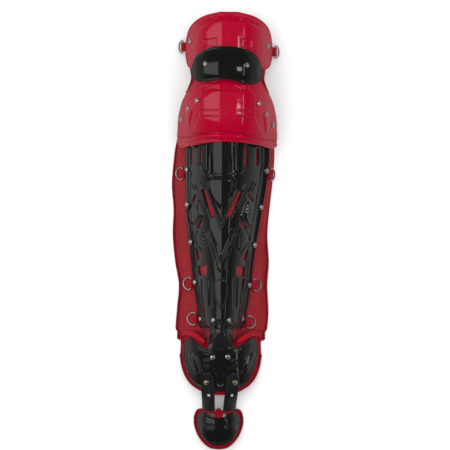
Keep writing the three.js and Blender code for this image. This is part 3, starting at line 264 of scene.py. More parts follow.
def toe_strap_surface(x, y):
    on_ankle = ankle_surface(x, y) + (SEAT + STRAP_WALL) / normals(ankle_surface, x, y)[..., 2]
    under_toe = toe_surface(x, y) + UNDER_SHELL / normals(toe_surface, x, y)[..., 2]
    return mix(on_ankle, under_toe, ease((ANKLE_FOOT - y) / (ANKLE_FOOT - TOE_TOP)))


def offset_surface(surface, offset, rounds=10, pull=0.6):
    """The surface a fixed distance from another one. Each round brings the normal's foot closer."""
    def moved(x, y):
        x, y = np.asarray(x, float), np.asarray(y, float)
        foot_x, foot_y = x, y
        for _ in range(rounds):
            n = normals(surface, foot_x, foot_y)
            foot_x = mix(foot_x, x - n[..., 0] * offset, pull)
            foot_y = mix(foot_y, y - n[..., 1] * offset, pull)
        return surface(foot_x, foot_y) + offset * normals(surface, foot_x, foot_y)[..., 2]
    return moved


under_shin, under_upper = offset_surface(shin_surface, UNDER_SHELL), offset_surface(upper_surface, UNDER_SHELL)
under_ankle, under_toe = offset_surface(ankle_surface, UNDER_SHELL), offset_surface(toe_surface, UNDER_SHELL)


# Distances and relief
def at_px(points):
    """Drawing places of photo pixels; the crest line leans a little across the photo."""
    p = np.array(points, float)
    crest = PX_CREST_COLUMN + (PX_CREST_ROW - p[:, 1]) * PX_CREST_LEAN
    return np.stack([(p[:, 0] - crest) * PX, (PX_ROW_OF_ORIGIN - p[:, 1]) * PX], -1)


def line_distance(x, y, points):
    """Distance to a line through points, in millimetres."""
    best = np.full(np.shape(x), 1e9)
    for (ax, ay), (bx, by) in zip(points[:-1], points[1:]):
        dx, dy = bx - ax, by - ay
        t = np.clip(((x - ax) * dx + (y - ay) * dy) / (dx * dx + dy * dy + 1e-9), 0, 1)
        best = np.minimum(best, np.hypot(x - ax - t * dx, y - ay - t * dy))
    return best


def area_distance(x, y, points):
    """Signed distance to a closed outline: negative inside."""
    closed = np.vstack([points, points[:1]])
    distance = line_distance(x, y, closed)
    inside = np.zeros(np.shape(x), bool)
    for (ax, ay), (bx, by) in zip(closed[:-1], closed[1:]):
        crosses = (ay > y) != (by > y)
        inside ^= crosses & (x < (bx - ax) * (y - ay) / (by - ay + 1e-12) + ax)
    return np.where(inside, -distance, distance)


def ridge(distance, width, height):
    """A rounded band of a width, raised by a height, or sunk where the height is negative."""
    flat, slope = 0.28 * width, 0.44 * width
    return height * (1 - ease((distance - flat) / slope))


def raised(distance, height, edge=1.6):
    return height * (1 - ease((distance + edge / 2) / edge))


def relief_of(forms):
    """Height over the shell of forms, which are lines of a width, or areas where the width is 0."""
    placed = [(width * PX * RELIEF_NARROWING, height * RELIEF_GAIN, at_px(points))
              for width, height, *shapes in forms for points in shapes]

    def relief(x, y):
        z = np.zeros(np.shape(x))
        for width, height, points in placed:
            if width:
                z += ridge(line_distance(x, y, points), width, height)
            else:
                z += raised(area_distance(x, y, points), height)
        return z
    return relief


# Meshes
def piece_from(name, vertices, faces, sharp):
    mesh = bpy.data.meshes.new(name)
    mesh.from_pydata(((np.asarray(vertices) + DRAWING_TO_FRAME) * MM).tolist(), [], faces)
    mesh.validate()
    mesh.shade_smooth()
    mesh.set_sharp_from_angle(angle=math.radians(sharp))
    obj = bpy.data.objects.new(name, mesh)
    bpy.context.scene.collection.objects.link(obj)
    return obj


def shares(length, step=GRID_STEP, edge=ROUND_EDGE):
    """Places from 0 to 1, close together at both ends so that an edge can be round."""
    close = np.array([0, 0.12, 0.36, 0.68, 1.0]) * edge / length
    middle = np.linspace(close[-1], 1 - close[-1], max(3, int(length / step)))
    return np.concatenate([close[:-1], middle, 1 - close[:-1][::-1]])


def both_ways(length, width, *step_and_edge):
    """A column of places from 0 to 1 and a row of places from -1 to 1."""
    return shares(length, *step_and_edge)[:, None], 2 * shares(width, *step_and_edge)[None, :] - 1


def row_net(rows, place, bow, step):
    """Places over a piece whose rows have a width and a bow."""
    shift, half, low, length = place
    v, u = both_ways(length, 2.2 * half, step)
    return shift + u * half * along(rows, 1, v), low + v * length + bow * along(rows, 2, v) * (1 - u * u)


def column_net(columns, place, step):
    """Places over a piece whose columns have a low and a high end."""
    shift, half, low, length = place
    v, u = both_ways(length * 0.8, 2.2 * half, step)
    return shift + u * half + 0 * v, low + length * mix(along(columns, 1, u), along(columns, 2, u), v)


def edge_distance(points):
    """Distance over the surface from the nearest side of a net of points."""
    nearest = []
    for axis in (0, 1):
        steps = np.linalg.norm(np.diff(points, axis=axis), axis=-1)
        start = np.zeros_like(np.take(points[..., 0], [0], axis))
        run = np.concatenate([start, np.cumsum(steps, axis=axis)], axis=axis)
        nearest.append(np.minimum(run, np.take(run, [-1], axis) - run))
    return np.minimum(*nearest)


def rounding(distance, radius):
    t = np.clip(1 - distance / radius, 0, 1)
    return radius * (1 - np.sqrt(np.maximum(1 - t * t, 0)))


def snapped(x, y, holes, probe=0.05, reach=0.62 * GRID_STEP):
    """Places with those near a hole's rim moved onto it, and their distances from the nearest hole."""
    def depth(px, py):
        return np.minimum.reduce([hole(px, py) for hole in holes])
    cut = depth(x, y)
    east = (depth(x + probe, y) - depth(x - probe, y)) / (2 * probe)
    north = (depth(x, y + probe) - depth(x, y - probe)) / (2 * probe)
    near = np.abs(cut) < reach
    x, y = np.where(near, x - cut * east, x), np.where(near, y - cut * north, y)
    return x, y, np.where(near, 0.0, depth(x, y))


def net_faces(shape, cut):
    """Quads of a net, halved where they reach into a hole and left out where they lie in one."""
    index = np.arange(shape[0] * shape[1]).reshape(shape)
    corners = index[:-1, :-1], index[:-1, 1:], index[1:, 1:], index[1:, :-1]
    quads = np.stack([corner.ravel() for corner in corners], -1).tolist()
    if cut is None:
        return quads
    depth = cut.ravel()

    def outside(face):
        return min(depth[k] for k in face) >= 0 and max(depth[k] for k in face) > 0
    faces = []
    for quad in quads:
        if outside(quad):
            faces.append(quad)
        else:
            p, q, r, s = quad
            halves = ([p, q, r], [p, r, s]) if depth[p] == 0 and depth[r] == 0 else ([p, q, s], [q, r, s])
            faces += [half for half in halves if outside(half)]
    return faces


def closed_wall(upper, lower, faces):
    """Both sides and the rims of a wall, without the points that no face uses."""
    count = len(upper)
    edges = dict.fromkeys((u, v) for face in faces for u, v in zip(face, face[1:] + face[:1]))
    every = faces + [[k + count for k in reversed(face)] for face in faces]
    every += [[v, u, u + count, v + count] for u, v in edges if (v, u) not in edges]
    used = np.unique([k for face in every for k in face])
    renumber = np.full(2 * count, -1)
    renumber[used] = np.arange(len(used))
    return np.vstack([upper, lower])[used], [renumber[face].tolist() for face in every]


def shell_mesh(name, net, surface, top, wall, relief=None, holes=(), radius=ROUND_EDGE, soft=False):
    """A closed wall over a net of places, with relief on top, round edges and cut-out holes."""
    x, y, cut = (*net, None) if not holes else snapped(*net, holes)
    base = np.stack([x, y, surface(x, y)], -1)
    n = normals(surface, x, y)
    distance = edge_distance(base)
    if cut is not None:
        distance = np.minimum(distance, np.maximum(cut, 0))
    rounded = rounding(distance, radius)
    lift = relief(x, y) * ease(distance / (1.5 * radius)) if relief else 0
    upper = base + n * (top + lift - rounded)[..., None]
    lower = base + n * (top - wall + 0.6 * rounded)[..., None]
    if soft:
        upper[..., 2] = np.maximum(upper[..., 2], 0.6)
        lower[..., 2] = np.minimum(np.maximum(lower[..., 2], 0), upper[..., 2] - 0.3)
    vertices, faces = closed_wall(upper.reshape(-1, 3), lower.reshape(-1, 3), net_faces(x.shape, cut))
    return piece_from(name, vertices, faces, SOFT_SHARP if soft else SHELL_SHARP)


def ring_faces(count, sides, closed=False):
    """Quads between rings of points, each of which has the same number of sides."""
    return [[k * sides + i, k * sides + (i + 1) % sides,
             (k + 1) % count * sides + (i + 1) % sides, (k + 1) % count * sides + i]
            for k in range(count if closed else count - 1) for i in range(sides)]


def end_faces(count, sides):
    return [list(range(sides))[::-1], [(count - 1) * sides + i for i in range(sides)]]


def tube(points, radius, sides=12, closed=False):
    """A round bar along points; radius is a number or has one value for each point."""
    p = np.asarray(points, float)
    count = len(p)
    radius = np.broadcast_to(np.asarray(radius, float), (count,))
    tangent = (np.roll(p, -1, 0) - np.roll(p, 1, 0)) if closed else np.gradient(p, axis=0)
    tangent /= np.linalg.norm(tangent, axis=1, keepdims=True)
    side = np.cross(tangent[0], [0, 0, 1.0])
    if np.linalg.norm(side) < 1e-3:
        side = np.array([1.0, 0, 0])
    angle = np.linspace(0, 2 * math.pi, sides, endpoint=False)[:, None]
    rings = []
    for centre, t, r in zip(p, tangent, radius):
        side = side - t * np.dot(side, t)
        side /= np.linalg.norm(side)
        rings.append(centre + r * (np.cos(angle) * side + np.sin(angle) * np.cross(t, side)))
    faces = ring_faces(count, sides, closed)
    return np.vstack(rings), faces if closed else faces + end_faces(count, sides)


def joined(parts):
    vertices, faces, base = [], [], 0
    for v, f in parts:
        vertices.append(v)
        faces += [[k + base for k in face] for face in f]
        base += len(v)
    return np.vstack(vertices), faces


def smooth_path(points, count):
    """Evenly spaced places on a smooth curve through points."""
    p = np.asarray(points, float)
    key = np.concatenate([[0], np.cumsum(np.linalg.norm(np.diff(p, axis=0), axis=1))])
    where = np.linspace(0, key[-1], count)
    return np.stack([along(np.stack([key, p[:, k]], -1), 1, where) for k in range(p.shape[1])], -1)


# Finishes
class Tree:
    """The node tree of a material or world, with short ways to add the nodes used here."""

    def __init__(self, owner):
        owner.use_nodes = True
        self.owner, self.nodes = owner, owner.node_tree.nodes

    def feed(self, node, inputs):
        for key, value in inputs.items():
            if isinstance(value, bpy.types.NodeSocket):
                self.owner.node_tree.links.new(value, node.inputs[key])
            else:
                node.inputs[key].default_value = value

    def add(self, kind, inputs=None, **settings):
        node = self.nodes.new("ShaderNode" + kind)
        for key, value in settings.items():
            setattr(node, key, value)
        self.feed(node, inputs or {})
        return node

    def place(self, system="Object"):
        return self.add("TexCoord").outputs[system]

    def noise(self, place, scale, detail=3.0, roughness=0.5):
        inputs = {"Vector": place, "Scale": scale, "Detail": detail, "Roughness": roughness}
        return self.add("TexNoise", inputs).outputs["Fac"]

    def spread(self, value, low, high, to_low, to_high):
        """A value's range from low to high, mapped onto another one."""
        inputs = {"Value": value, "From Min": low, "From Max": high, "To Min": to_low, "To Max": to_high}
        return self.add("MapRange", inputs).outputs["Result"]

    def blend(self, share, first, second):
        """A mix of two colours, each three numbers or a socket."""
        first, second = ((*color, 1) if isinstance(color, tuple) else color for color in (first, second))
        return self.add("Mix", {0: share, 6: first, 7: second}, data_type="RGBA").outputs[2]

    def bump(self, height, strength, distance, under=None):
        inputs = {"Height": height, "Strength": strength, "Distance": distance}
        if under is not None:
            inputs["Normal"] = under
        return self.add("Bump", inputs).outputs["Normal"]

    def vector(self, operation, *values, output="Vector"):
        return self.add("VectorMath", dict(enumerate(values)), operation=operation).outputs[output]

    def shade(self, inputs):
        self.feed(self.nodes["Principled BSDF"], inputs)
        return self.owner


def darker(color, share):
    return tuple(share * part for part in color)


def gloss_material(name, color, light, worn, coat=1.0, sheen=0.0):
    """Moulded plastic under a clear skin, with a faint orange peel and worn patches."""
    tree = Tree(bpy.data.materials.new(name))
    place = tree.place()
    broad = tree.noise(place, 26, 4)
    skin = tree.bump(tree.noise(place, 900, 2), 0.05, 0.00008, tree.bump(broad, 0.10, 0.0012))
    return tree.shade({
        "Base Color": tree.blend(tree.spread(broad, 0.35, 0.7, 0, 0.5), color, light),
        "Roughness": tree.spread(tree.noise(place, 140, 6, 0.7), 0.35, 0.75, 0.16, worn),
        "Specular IOR Level": 0.08,
        "Sheen Weight": sheen,
        "Coat Weight": coat,
        "Coat Roughness": tree.spread(tree.noise(place, 60, 8, 0.75), 0.45, 0.8, 0.035, 0.16),
        "Normal": skin,
        "Coat Normal": skin,
    })


def hex_dots(tree, place, pitch):
    """Distance from the nearest dot of an even triangular pattern, in shares of the pitch."""
    flat = tree.vector("MULTIPLY", place, (1 / pitch, 1 / (pitch * math.sqrt(3)), 0.0))
    dots = []
    for offset in ((0.0, 0.0, 0.0), (0.5, 0.5, 0.0)):
        cell = tree.vector("FRACTION", tree.vector("ADD", flat, offset))
        middle = tree.vector("SUBTRACT", cell, (0.5, 0.5, 0.0))
        even = tree.vector("MULTIPLY", middle, (1.0, math.sqrt(3), 0.0))
        dots.append(tree.vector("LENGTH", even, output="Value"))
    return tree.add("Math", dict(enumerate(dots)), operation="MINIMUM").outputs[0]


def mesh_material(name, color, dark):
    """Knitted mesh with rows of dimples and a little fuzz."""
    tree = Tree(bpy.data.materials.new(name))
    place = tree.place()
    away = hex_dots(tree, place, 0.0053)
    patchy = tree.spread(tree.noise(place, 30, 3), 0.3, 0.7, 0, 1)
    dent = tree.bump(tree.spread(away, 0.12, 0.42, 0, 1), 0.9, 0.0009)
    return tree.shade({
        "Base Color": tree.blend(tree.spread(away, 0.16, 0.34, 1, 0),
                                 tree.blend(patchy, color, darker(color, 0.82)), dark),
        "Roughness": 0.85,
        "Sheen Weight": 0.06,
        "Normal": tree.bump(tree.noise(place, 1500, 3), 0.35, 0.0003, dent),
    })


def cloth_material(name, color, scale=1400.0, strength=0.5, sheen=0.02):
    """Ribbed, slightly faded cloth."""
    tree = Tree(bpy.data.materials.new(name))
    place = tree.place()
    rib = tree.add("TexWave", {"Vector": place, "Scale": 260, "Distortion": 1.2, "Detail": 1})
    woven = tree.bump(rib.outputs["Fac"], strength * 0.6, 0.0003)
    patchy = tree.spread(tree.noise(place, 60, 4), 0.3, 0.7, 0, 1)
    return tree.shade({
        "Base Color": tree.blend(patchy, color, darker(color, 0.75)),
        "Roughness": 0.8,
        "Specular IOR Level": 0.12,
        "Sheen Weight": sheen,
        "Normal": tree.bump(tree.noise(place, scale, 3), strength, 0.0003, woven),
    })


def web_material(name, color):
    """Woven strap with a dark gap between its threads."""
    tree = Tree(bpy.data.materials.new(name))
    weave = tree.add("TexBrick", {
        "Vector": tree.place(), "Scale": 420, "Mortar Size": 0.06, "Color1": (*color, 1),
        "Color2": (*darker(color, 0.8), 1), "Mortar": (*darker(color, 0.35), 1),
    })
    return tree.shade({
        "Base Color": weave.outputs["Color"],
        "Roughness": 0.6,
        "Specular IOR Level": 0.15,
        "Sheen Weight": 0.02,
        "Normal": tree.bump(weave.outputs["Fac"], -0.6, 0.0003),
    })


def metal_material(name, color, roughness):
    """Metal with small tarnished spots."""
    tree = Tree(bpy.data.materials.new(name))
    tarnish = tree.noise(tree.place(), 700, 4)
    return tree.shade({
        "Base Color": tree.blend(tree.spread(tarnish, 0.45, 0.75, 0, 1), color, darker(color, 0.6)),
        "Roughness": tree.spread(tarnish, 0.3, 0.7, roughness * 0.7, roughness * 1.5),
        "Metallic": 1.0,
    })


LOOKS = {name: finish(name, *values) for name, finish, *values in (
    ("red_shell", gloss_material, (0.345, 0.0002, 0.018), (0.375, 0.0003, 0.0205), 0.4, 0.8),
    ("black_shell", gloss_material, (0.0045, 0.0045, 0.004), (0.007, 0.007, 0.0065), 0.32, 0.8, 0.05),
    ("black_strap", gloss_material, (0.009, 0.009, 0.009), (0.016, 0.016, 0.016), 0.4),
    ("red_pad", cloth_material, (0.22, 0.0022, 0.011)),
    # The ankle roll's cloth is a brighter copy of red_pad: painted light on the roll.
    ("bright_roll", cloth_material, (0.38, 0.004, 0.017), 1100.0, 0.3, 0.03),
    ("red_mesh", mesh_material, (0.3, 0.011, 0.018), (0.19, 0.006, 0.011)),
    ("red_webbing", web_material, (0.45, 0.004, 0.02)),
    ("steel", metal_material, (0.74, 0.72, 0.69), 0.28),
    ("brass", metal_material, (0.72, 0.6, 0.42), 0.3),
)}


def settle(obj, look, *nodes, fill=None, finish=None):
    obj.data.materials.append(LOOKS[finish or look])
    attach(obj, "root")
    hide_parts(*nodes)


# Forms: a width, a height and one or more lines through photo pixels. The outline of an area has a width
# of 0, and a height below zero is sunk.
SHIN_FORMS = [
    (0, 1.5, [(214, 132), (229.6, 132), (229.6, 172), (227, 174.5), (216.5, 174.5), (214, 172)]),
    (1.3, -1.0, [(212.6, 140), (212.6, 174), (214, 177), (229.7, 177), (231.4, 174), (231.4, 140)]),
    (1.6, 1.0, [(210.6, 140), (210.6, 173)], [(233.3, 140), (233.3, 173)]),
    (0, 1.4, [(201, 132), (207.6, 132), (207.6, 171), (205, 174), (202.5, 173), (201, 170)],
        [(235.6, 132), (243.4, 132), (243.4, 170), (241, 173.5), (238, 174), (235.6, 171)]),
    (1.2, -0.9, [(209, 140), (209, 173)], [(234.5, 140), (234.5, 173)]),
    (0, 1.7, [(212, 179.5), (230.5, 179.5), (233.3, 182), (230.5, 193), (227.3, 200), (221.3, 206),
        (215, 200), (211.8, 193), (209.6, 182)]),
    (1.3, -0.9, [(211, 177.9), (231.5, 177.9), (235, 182), (232, 193.5), (228.5, 201), (221.3, 208.3),
        (213.6, 201), (210.2, 193.5), (208, 182), (211, 177.9)]),
    (1.6, 1.3, [(244.3, 184), (237.3, 208)], [(199.8, 184), (206.8, 208)]),
    (2.0, 1.3, [(207.8, 190), (215.8, 213), (221.2, 228), (227.2, 213), (236, 190)]),
    (1.2, -0.9, [(210.4, 192), (217, 211), (221.2, 222), (226, 211), (233.3, 192)]),
    (1.0, 0.9, [(192.2, 184.3), (194.8, 190)], [(195.4, 184), (196.9, 190.3)]),
    (1.1, 0.9, [(253.9, 180.8), (249.1, 191.6)], [(256.4, 182.7), (252, 191.6)]),
    (0, 1.1, [(192.5, 206), (197.4, 205.5), (200.2, 215), (194.6, 223.4), (190.5, 221), (189.6, 213)]),
    (1.1, -0.9, [(191.8, 204), (198.4, 203.6), (201.8, 215), (195.2, 225.4), (188.8, 222.6), (187.8, 212),
        (191.8, 204)]),
    (0, 1.1, [(247.4, 203.4), (250.8, 203.4), (253.4, 208.6), (252.2, 216), (250, 226), (245.6, 220.5),
        (244.8, 212)]),
    (1.3, 1.0, [(246.2, 200), (241.1, 215.5), (243.5, 221)], [(248.8, 202), (245, 215.8), (250.7, 228)],
        [(197.6, 200), (203.2, 215.5), (199.5, 221)]),
    (0, 1.1, [(198.6, 232), (202, 230.6), (203.4, 240), (205, 248.6), (202, 248.4), (199, 244.6), (197, 237)]),
    (1.2, -1.0, [(202.4, 229), (204.4, 240), (206.4, 250.4), (201.6, 250.4), (197.6, 245.4), (195.4, 237),
        (197.4, 231)]),
    (0, 1.1, [(240.4, 230), (244.4, 231), (247.8, 236), (247.6, 239), (240.8, 250), (238.8, 248)]),
    (1.2, -1.0, [(238.4, 229), (236.4, 249.5), (240.6, 253), (249.6, 239), (249.4, 235.5), (244.8, 229)]),
    (3.4, 1.5, [(209.9, 232), (220.9, 260)], [(232.8, 230.5), (221.3, 260)]),
    (0.9, -0.9, [(209.9, 232), (220.9, 259)], [(232.8, 230.5), (221.3, 259)]),
    (1.2, -1.0, [(206.8, 232.7), (218, 268.7), (221.3, 272)], [(236, 231), (224.4, 268.7), (221.3, 272)]),
    (0, -1.1, [(201, 279), (203.6, 279), (203.8, 307), (201.6, 307)], [(208.2, 279), (212, 278),
        (212.4, 307), (208.6, 307)], [(233, 278), (237.8, 279), (237.2, 307), (232.8, 307)],
        [(240.9, 279), (244.6, 279), (243.6, 307), (240.6, 307)]),
    (0, 1.6, [(218, 279.5), (224, 279.5), (227, 284), (227, 296), (221.6, 309.5), (214.6, 296), (214.6, 284)]),
    (1.6, 1.0, [(213.6, 327.6), (216.4, 323.6), (224, 321.8), (231, 323.6), (234.6, 327.6)]),
    (1.1, -0.8, [(212, 325.6), (215.6, 321), (224, 319.2), (232, 321), (236, 325.6)]),
    (1.2, -1.0, [(190, 140), (190, 200), (192.6, 235), (194.8, 259), (197.6, 288), (202.6, 320)],
        [(261.8, 140), (261.4, 165), (258, 190), (252.6, 221), (246, 262), (241, 300), (238, 320)]),
]
SHIN_SLOT_LINES = [
    (2.0, [(199.9, 146.6), (199.9, 164.6)]), (2.0, [(190.7, 149), (190.7, 163.6)]),
    (2.4, [(246.5, 146.2), (246.5, 165)]), (2.2, [(257.5, 149), (257.5, 164)]),
    (2.0, [(195.7, 195.3), (193, 201.2)]), (2.1, [(248.2, 195.8), (252.2, 200.2)]),
    (2.3, [(201.5, 222), (198.3, 227.6)]), (2.3, [(241.3, 223.6), (245.6, 227)]),
]
SHIN_SLOT_AREAS = [
    [(202.6, 190.4), (205, 190), (214.4, 215.4), (212.5, 217.2), (210, 216.4)],
    [(239.6, 190.5), (242, 191.4), (231.7, 216), (229.2, 217.2), (227.1, 215.5)],
    [(195.6, 248), (197.2, 259.4), (201.4, 257.6)], [(248.4, 249), (242.2, 259.8), (246, 260)],
    [(197.9, 266), (205.9, 265.8), (205.5, 275.4), (199.4, 275.4)],
    [(237, 266.5), (245, 266.5), (244, 276), (237.5, 276)],
]
SLOT_GROWTH = 0.3
SHIN_PAD_SEAMS = [
    [(179.6, 200), (178.6, 240), (180.4, 262), (183, 291.5), (196, 291.5)],
    [(264.6, 246), (264.4, 285), (262.6, 313), (246, 313)],
]


def shin_slots():
    """The shin plate's holes, as distances that are negative inside."""
    slots = []
    for width, points in SHIN_SLOT_LINES:
        slots.append(lambda x, y, line=at_px(points), half=width * PX / 2: line_distance(x, y, line) - half)
    for points in SHIN_SLOT_AREAS:
        slots.append(lambda x, y, area=at_px(points): area_distance(x, y, area) - SLOT_GROWTH)
    return slots


def make_shin_plate():
    v, u = both_ways(SHIN_LENGTH, 2.4 * SHIN_HALF)
    y = v * SHIN_LENGTH + 0 * u
    net = (u * shin_half(u + 0 * v, y), y)
    obj = shell_mesh("shin_plate_shell", net, shin_surface, 0, SHELL_WALL, relief_of(SHIN_FORMS), shin_slots())
    settle(obj, "black_shell", "shin_plate")


KNEE_EDGE = [
    (179, 144), (188.4, 144.6), (194.8, 142.8), (204.3, 140.6), (213.9, 139.6), (228, 139.3), (240.8, 141.1),
    (253.5, 143.7), (263.1, 146.2), (275, 147),
]
KNEE_FORMS = [
    (4.8, 1.5, [(x, y - 2.6) for x, y in KNEE_EDGE]), (1.8, -1.1, [(x, y - 6.4) for x, y in KNEE_EDGE]),
    (0, 1.5, [(201, 91.5), (253.5, 91.5), (254.8, 100), (254.8, 118), (263, 136), (228, 131.5),
        (191.6, 134), (199.8, 118), (199.8, 100)]),
    (2.6, 1.2, [(203, 86.6), (218.6, 85.6)], [(236.6, 85.8), (248, 86.8)]),
    (1.4, -1.1, [(203, 83.4), (219, 82.6)], [(236, 82.8), (248, 83.6)]),
    (1.6, -1.0, [(202.5, 90), (219, 89.2)], [(236, 89.4), (248.4, 90.2)]),
    (1.6, -1.1, [(201, 110.6), (218.6, 110.8)], [(237, 111), (248.6, 111)], [(200.6, 116.8), (219, 116.4)],
        [(236.6, 116.6), (249, 116.8)]),
    (0, 1.2, [(186.6, 109), (193.2, 109), (191, 118), (189.4, 127)], [(263.2, 115), (269.2, 112),
        (267.6, 123), (266, 133)]),
]
THIGH_FORMS = [
    (0, 1.5, [(214, 21.5), (245, 21.5), (262, 30), (262.4, 40), (263.6, 49.4), (262, 60), (195.4, 60),
        (195, 45), (199.6, 30)]),
    (2.4, 1.2, [(205, 20.6), (214, 17.6), (229, 16.6), (245, 17.8), (253, 21)]),
    (1.5, -0.9, [(200, 24.5), (213, 19.8), (229, 19), (246, 20), (258, 25)]),
    (0, -1.8, [(204, 40), (217, 39), (217, 47), (204, 47)], [(240, 38.6), (251, 40.6), (251, 48.4),
        (240, 48.4)]),
]
ANKLE_FORMS = [
    (3.2, 1.5, [(190.2, 353.7), (196, 372.8)], [(252.7, 354.3), (246.4, 370.4)]),
    (1.4, -1.0, [(193, 352.5), (199, 371.5)], [(249.8, 352.8), (243.4, 369.4)]),
    (2.0, 1.1, [(196, 357), (201.6, 373)], [(246.6, 357), (240.4, 373)]),
    (0, 1.2, [(204.4, 360), (210.6, 359.4), (211, 367.6), (207, 369.4), (204, 366)],
        [(231, 359.4), (237.2, 360), (237.6, 366), (234.4, 369.4), (230.6, 367.6)]),
    (1.8, -1.4, [(207.5, 363.4), (207.9, 365)], [(234, 363.4), (233.8, 365)]),
    (1.3, -1.1, [(212.6, 361), (212.9, 368)], [(228.8, 361), (228.6, 368)]),
    (1.4, 1.1, [(216.6, 374), (216.8, 384), (220.4, 388), (224, 384), (224.2, 374)]),
    (1.1, -0.9, [(213, 376.5), (214.9, 390)], [(228.3, 375.3), (225.4, 390)]),
    (1.3, -0.8, [(194, 347), (202, 351.5), (211, 354), (230, 353.4), (240, 350.6), (249.5, 345)]),
]
TOE_FORMS = [
    (1.5, -1.1, [(195, 423), (203, 424.2), (217.6, 426), (232, 424.2), (242, 422.4)]),
    (0, 1.3, [(200.6, 427.6), (217.4, 429.4), (234.6, 427), (238.6, 431), (232.4, 438.4), (224.4, 442.6),
        (217, 443.6), (209, 441.8), (202.6, 436)]),
]


def rim_relief(forms, net, surface, groove_at, groove_width, depth):
    """The listed forms, with a groove that runs a fixed distance inside the piece's edge."""
    flat = relief_of(forms)
    distance = edge_distance(np.stack([*net, surface(*net)], -1))

    def relief(x, y):
        return flat(x, y) + ridge(np.abs(distance - groove_at), groove_width, -depth)
    return relief


def make_plain_shells():
    knee = row_net(KNEE_ROWS, KNEE, KNEE_BOW, FINE_STEP)
    thigh = row_net(THIGH_ROWS, THIGH, 0, FINE_STEP)
    cap, ankle, toe = (column_net(columns, place, FINE_STEP) for columns, place in (
        (CAP_COLUMNS, CAP), (ANKLE_COLUMNS, ANKLE), (TOE_COLUMNS, TOE)))
    # Node, look, net, surface, forms, and the rim groove's distance from the edge, width and depth
    for node, look, net, surface, forms, *groove in (
        ("knee_cap", "red_shell", knee, knee_surface, KNEE_FORMS, 4.2, 1.6, 0.5),
        ("thigh_guard", "red_shell", thigh, thigh_surface, THIGH_FORMS, 5.2, 2.6, 0.9),
        ("upper_knee_cap", "black_shell", cap, cap_surface, [], 3.4, 1.5, 0.5),
        ("ankle_plate", "black_shell", ankle, ankle_surface, ANKLE_FORMS, 4.0, 1.6, 0.6),
        ("toe_plate", "black_shell", toe, toe_surface, TOE_FORMS, 3.0, 1.4, 0.6),
    ):
        relief = rim_relief(forms, net, surface, *groove)
        settle(shell_mesh(node + "_shell", net, surface, 0, SHELL_WALL, relief), look, node)


# Padding
PAD_FILL, ROLL_FILL = 0.8, 0.9
BINDING_RADIUS, BINDING_SINK = 1.9, 0.4
BED_DEPTH, BED_HALF, BED_LOW, BED_HIGH, BED_RAMP = 8.2, 29.0, ANKLE_TOP - 17, 16.0, 3.0
WING_INSET, WING_END, WING_FROM, WING_BLEND = 1.0, -19.0, 54.0, 12.0
LIP_HALF, LIP_GAP, ANKLE_TUCK = 30.0, 4.4, 3.0
SWELL, SEAM_WIDTH, SEAM_DEPTH = 1.8, 3.0, 1.3
WAIST_SWELL, WAIST_REACH, WAIST_HALF = 2.4, 22.0, 62.0
ROLL_RADIUS, ROLL_DROP, ROLL_LIFT, ROLL_FLOOR = 4.4, 3.4, 1.6, 4.6
OUTLINE_POINTS = 110


def under_strap(surface):
    """The padding's surface, pressed down where the link strap lies on it."""
    def pressed(x, y):
        z = surface(x, y)
        inside = (BED_HALF - np.abs(x), BED_HIGH - y, y - BED_LOW)
        share = math.prod(ease(distance / BED_RAMP) for distance in inside)
        return mix(z, np.minimum(z, link_surface(x, y) - BED_DEPTH), share)
    return pressed


def ankle_pad_top(x):
    across = np.minimum(np.abs(x) / (ANKLE_PAD_HALF + 5), 0.87)
    return ANKLE_PAD_LOW + ANKLE_PAD_LENGTH * along(ANKLE_PAD_HALVES, 2, across)


def binding(x, y, surface, closed=False):
    """A bound edge over a line of places, kept above the floor."""
    z = np.maximum(surface(x, y) - BINDING_SINK, BINDING_RADIUS + 0.1)
    path = np.stack([x, y, z], -1)
    return tube(path if closed else smooth_path(path, 160), BINDING_RADIUS, 10, closed)


def outline(columns, place, inset):
    """Places round a piece that columns describe, its low side first."""
    shift, half, low, length = place
    u = np.sin(np.linspace(-math.pi / 2, math.pi / 2, OUTLINE_POINTS))
    back = u[-2:0:-1]
    x = np.concatenate([u, back])
    y_low = low + length * along(columns, 1, u) + inset
    y_high = low + length * along(columns, 2, back) - inset
    return shift + x * (half - inset), np.concatenate([y_low, y_high])


def settle_cloth(name, net, surface, wall, radius, look="red_pad", puff=None):
    obj = shell_mesh(name + "_cloth", net, surface, 0, wall, puff, radius=radius, soft=True)
    settle(obj, look, name, fill=PAD_FILL)


def settle_binding(name, *parts):
    settle(piece_from(name + "_binding", *joined(parts), ROUND_SHARP), "red_pad", name, fill=PAD_FILL)


def wing_half(x, y):
    return shin_pad_half(x, y) - WING_INSET


def make_shin_pad():
    v, u = both_ways(SHIN_LENGTH * 1.03, 3.4 * SHIN_HALF, PAD_STEP, 2.4)
    y = 0.998 * v * SHIN_LENGTH + 0 * u
    for _ in range(3):
        x = u * wing_half(u + 0 * v, y)
        low = ankle_pad_top(x) + np.where(np.abs(x) > LIP_HALF, -ANKLE_TUCK, LIP_GAP)
        low = mix(low, WING_END, ease((np.abs(x) - WING_FROM) / WING_BLEND))
        y = mix(low, SHIN_LENGTH - WING_INSET, v + 0 * u)
    seams = [at_px(points) for points in SHIN_PAD_SEAMS]

    def puff(px, py):
        plate = shin_half(px, py)
        out = np.abs(px) - plate
        wing = np.maximum(shin_pad_half(px, py) - plate, 3)
        swell = SWELL * np.sin(math.pi * np.clip(out / wing, 0, 1)) * (out > 0)
        sunk = sum(ridge(line_distance(px, py, seam), SEAM_WIDTH, -SEAM_DEPTH) for seam in seams)
        return swell + sunk * (out > 2)
    settle_cloth("shin_pad", (x, y), under_strap(under_shin), PAD_WALL, 2.2, "red_mesh", puff)
    sides = []
    for sign in (-1, 1):
        yy = np.linspace(-17, SHIN_LENGTH - 4, 80)
        sides.append(binding(sign * (wing_half(np.full_like(yy, sign), yy) - 0.4), yy, under_shin))
    settle_binding("shin_pad", *sides)


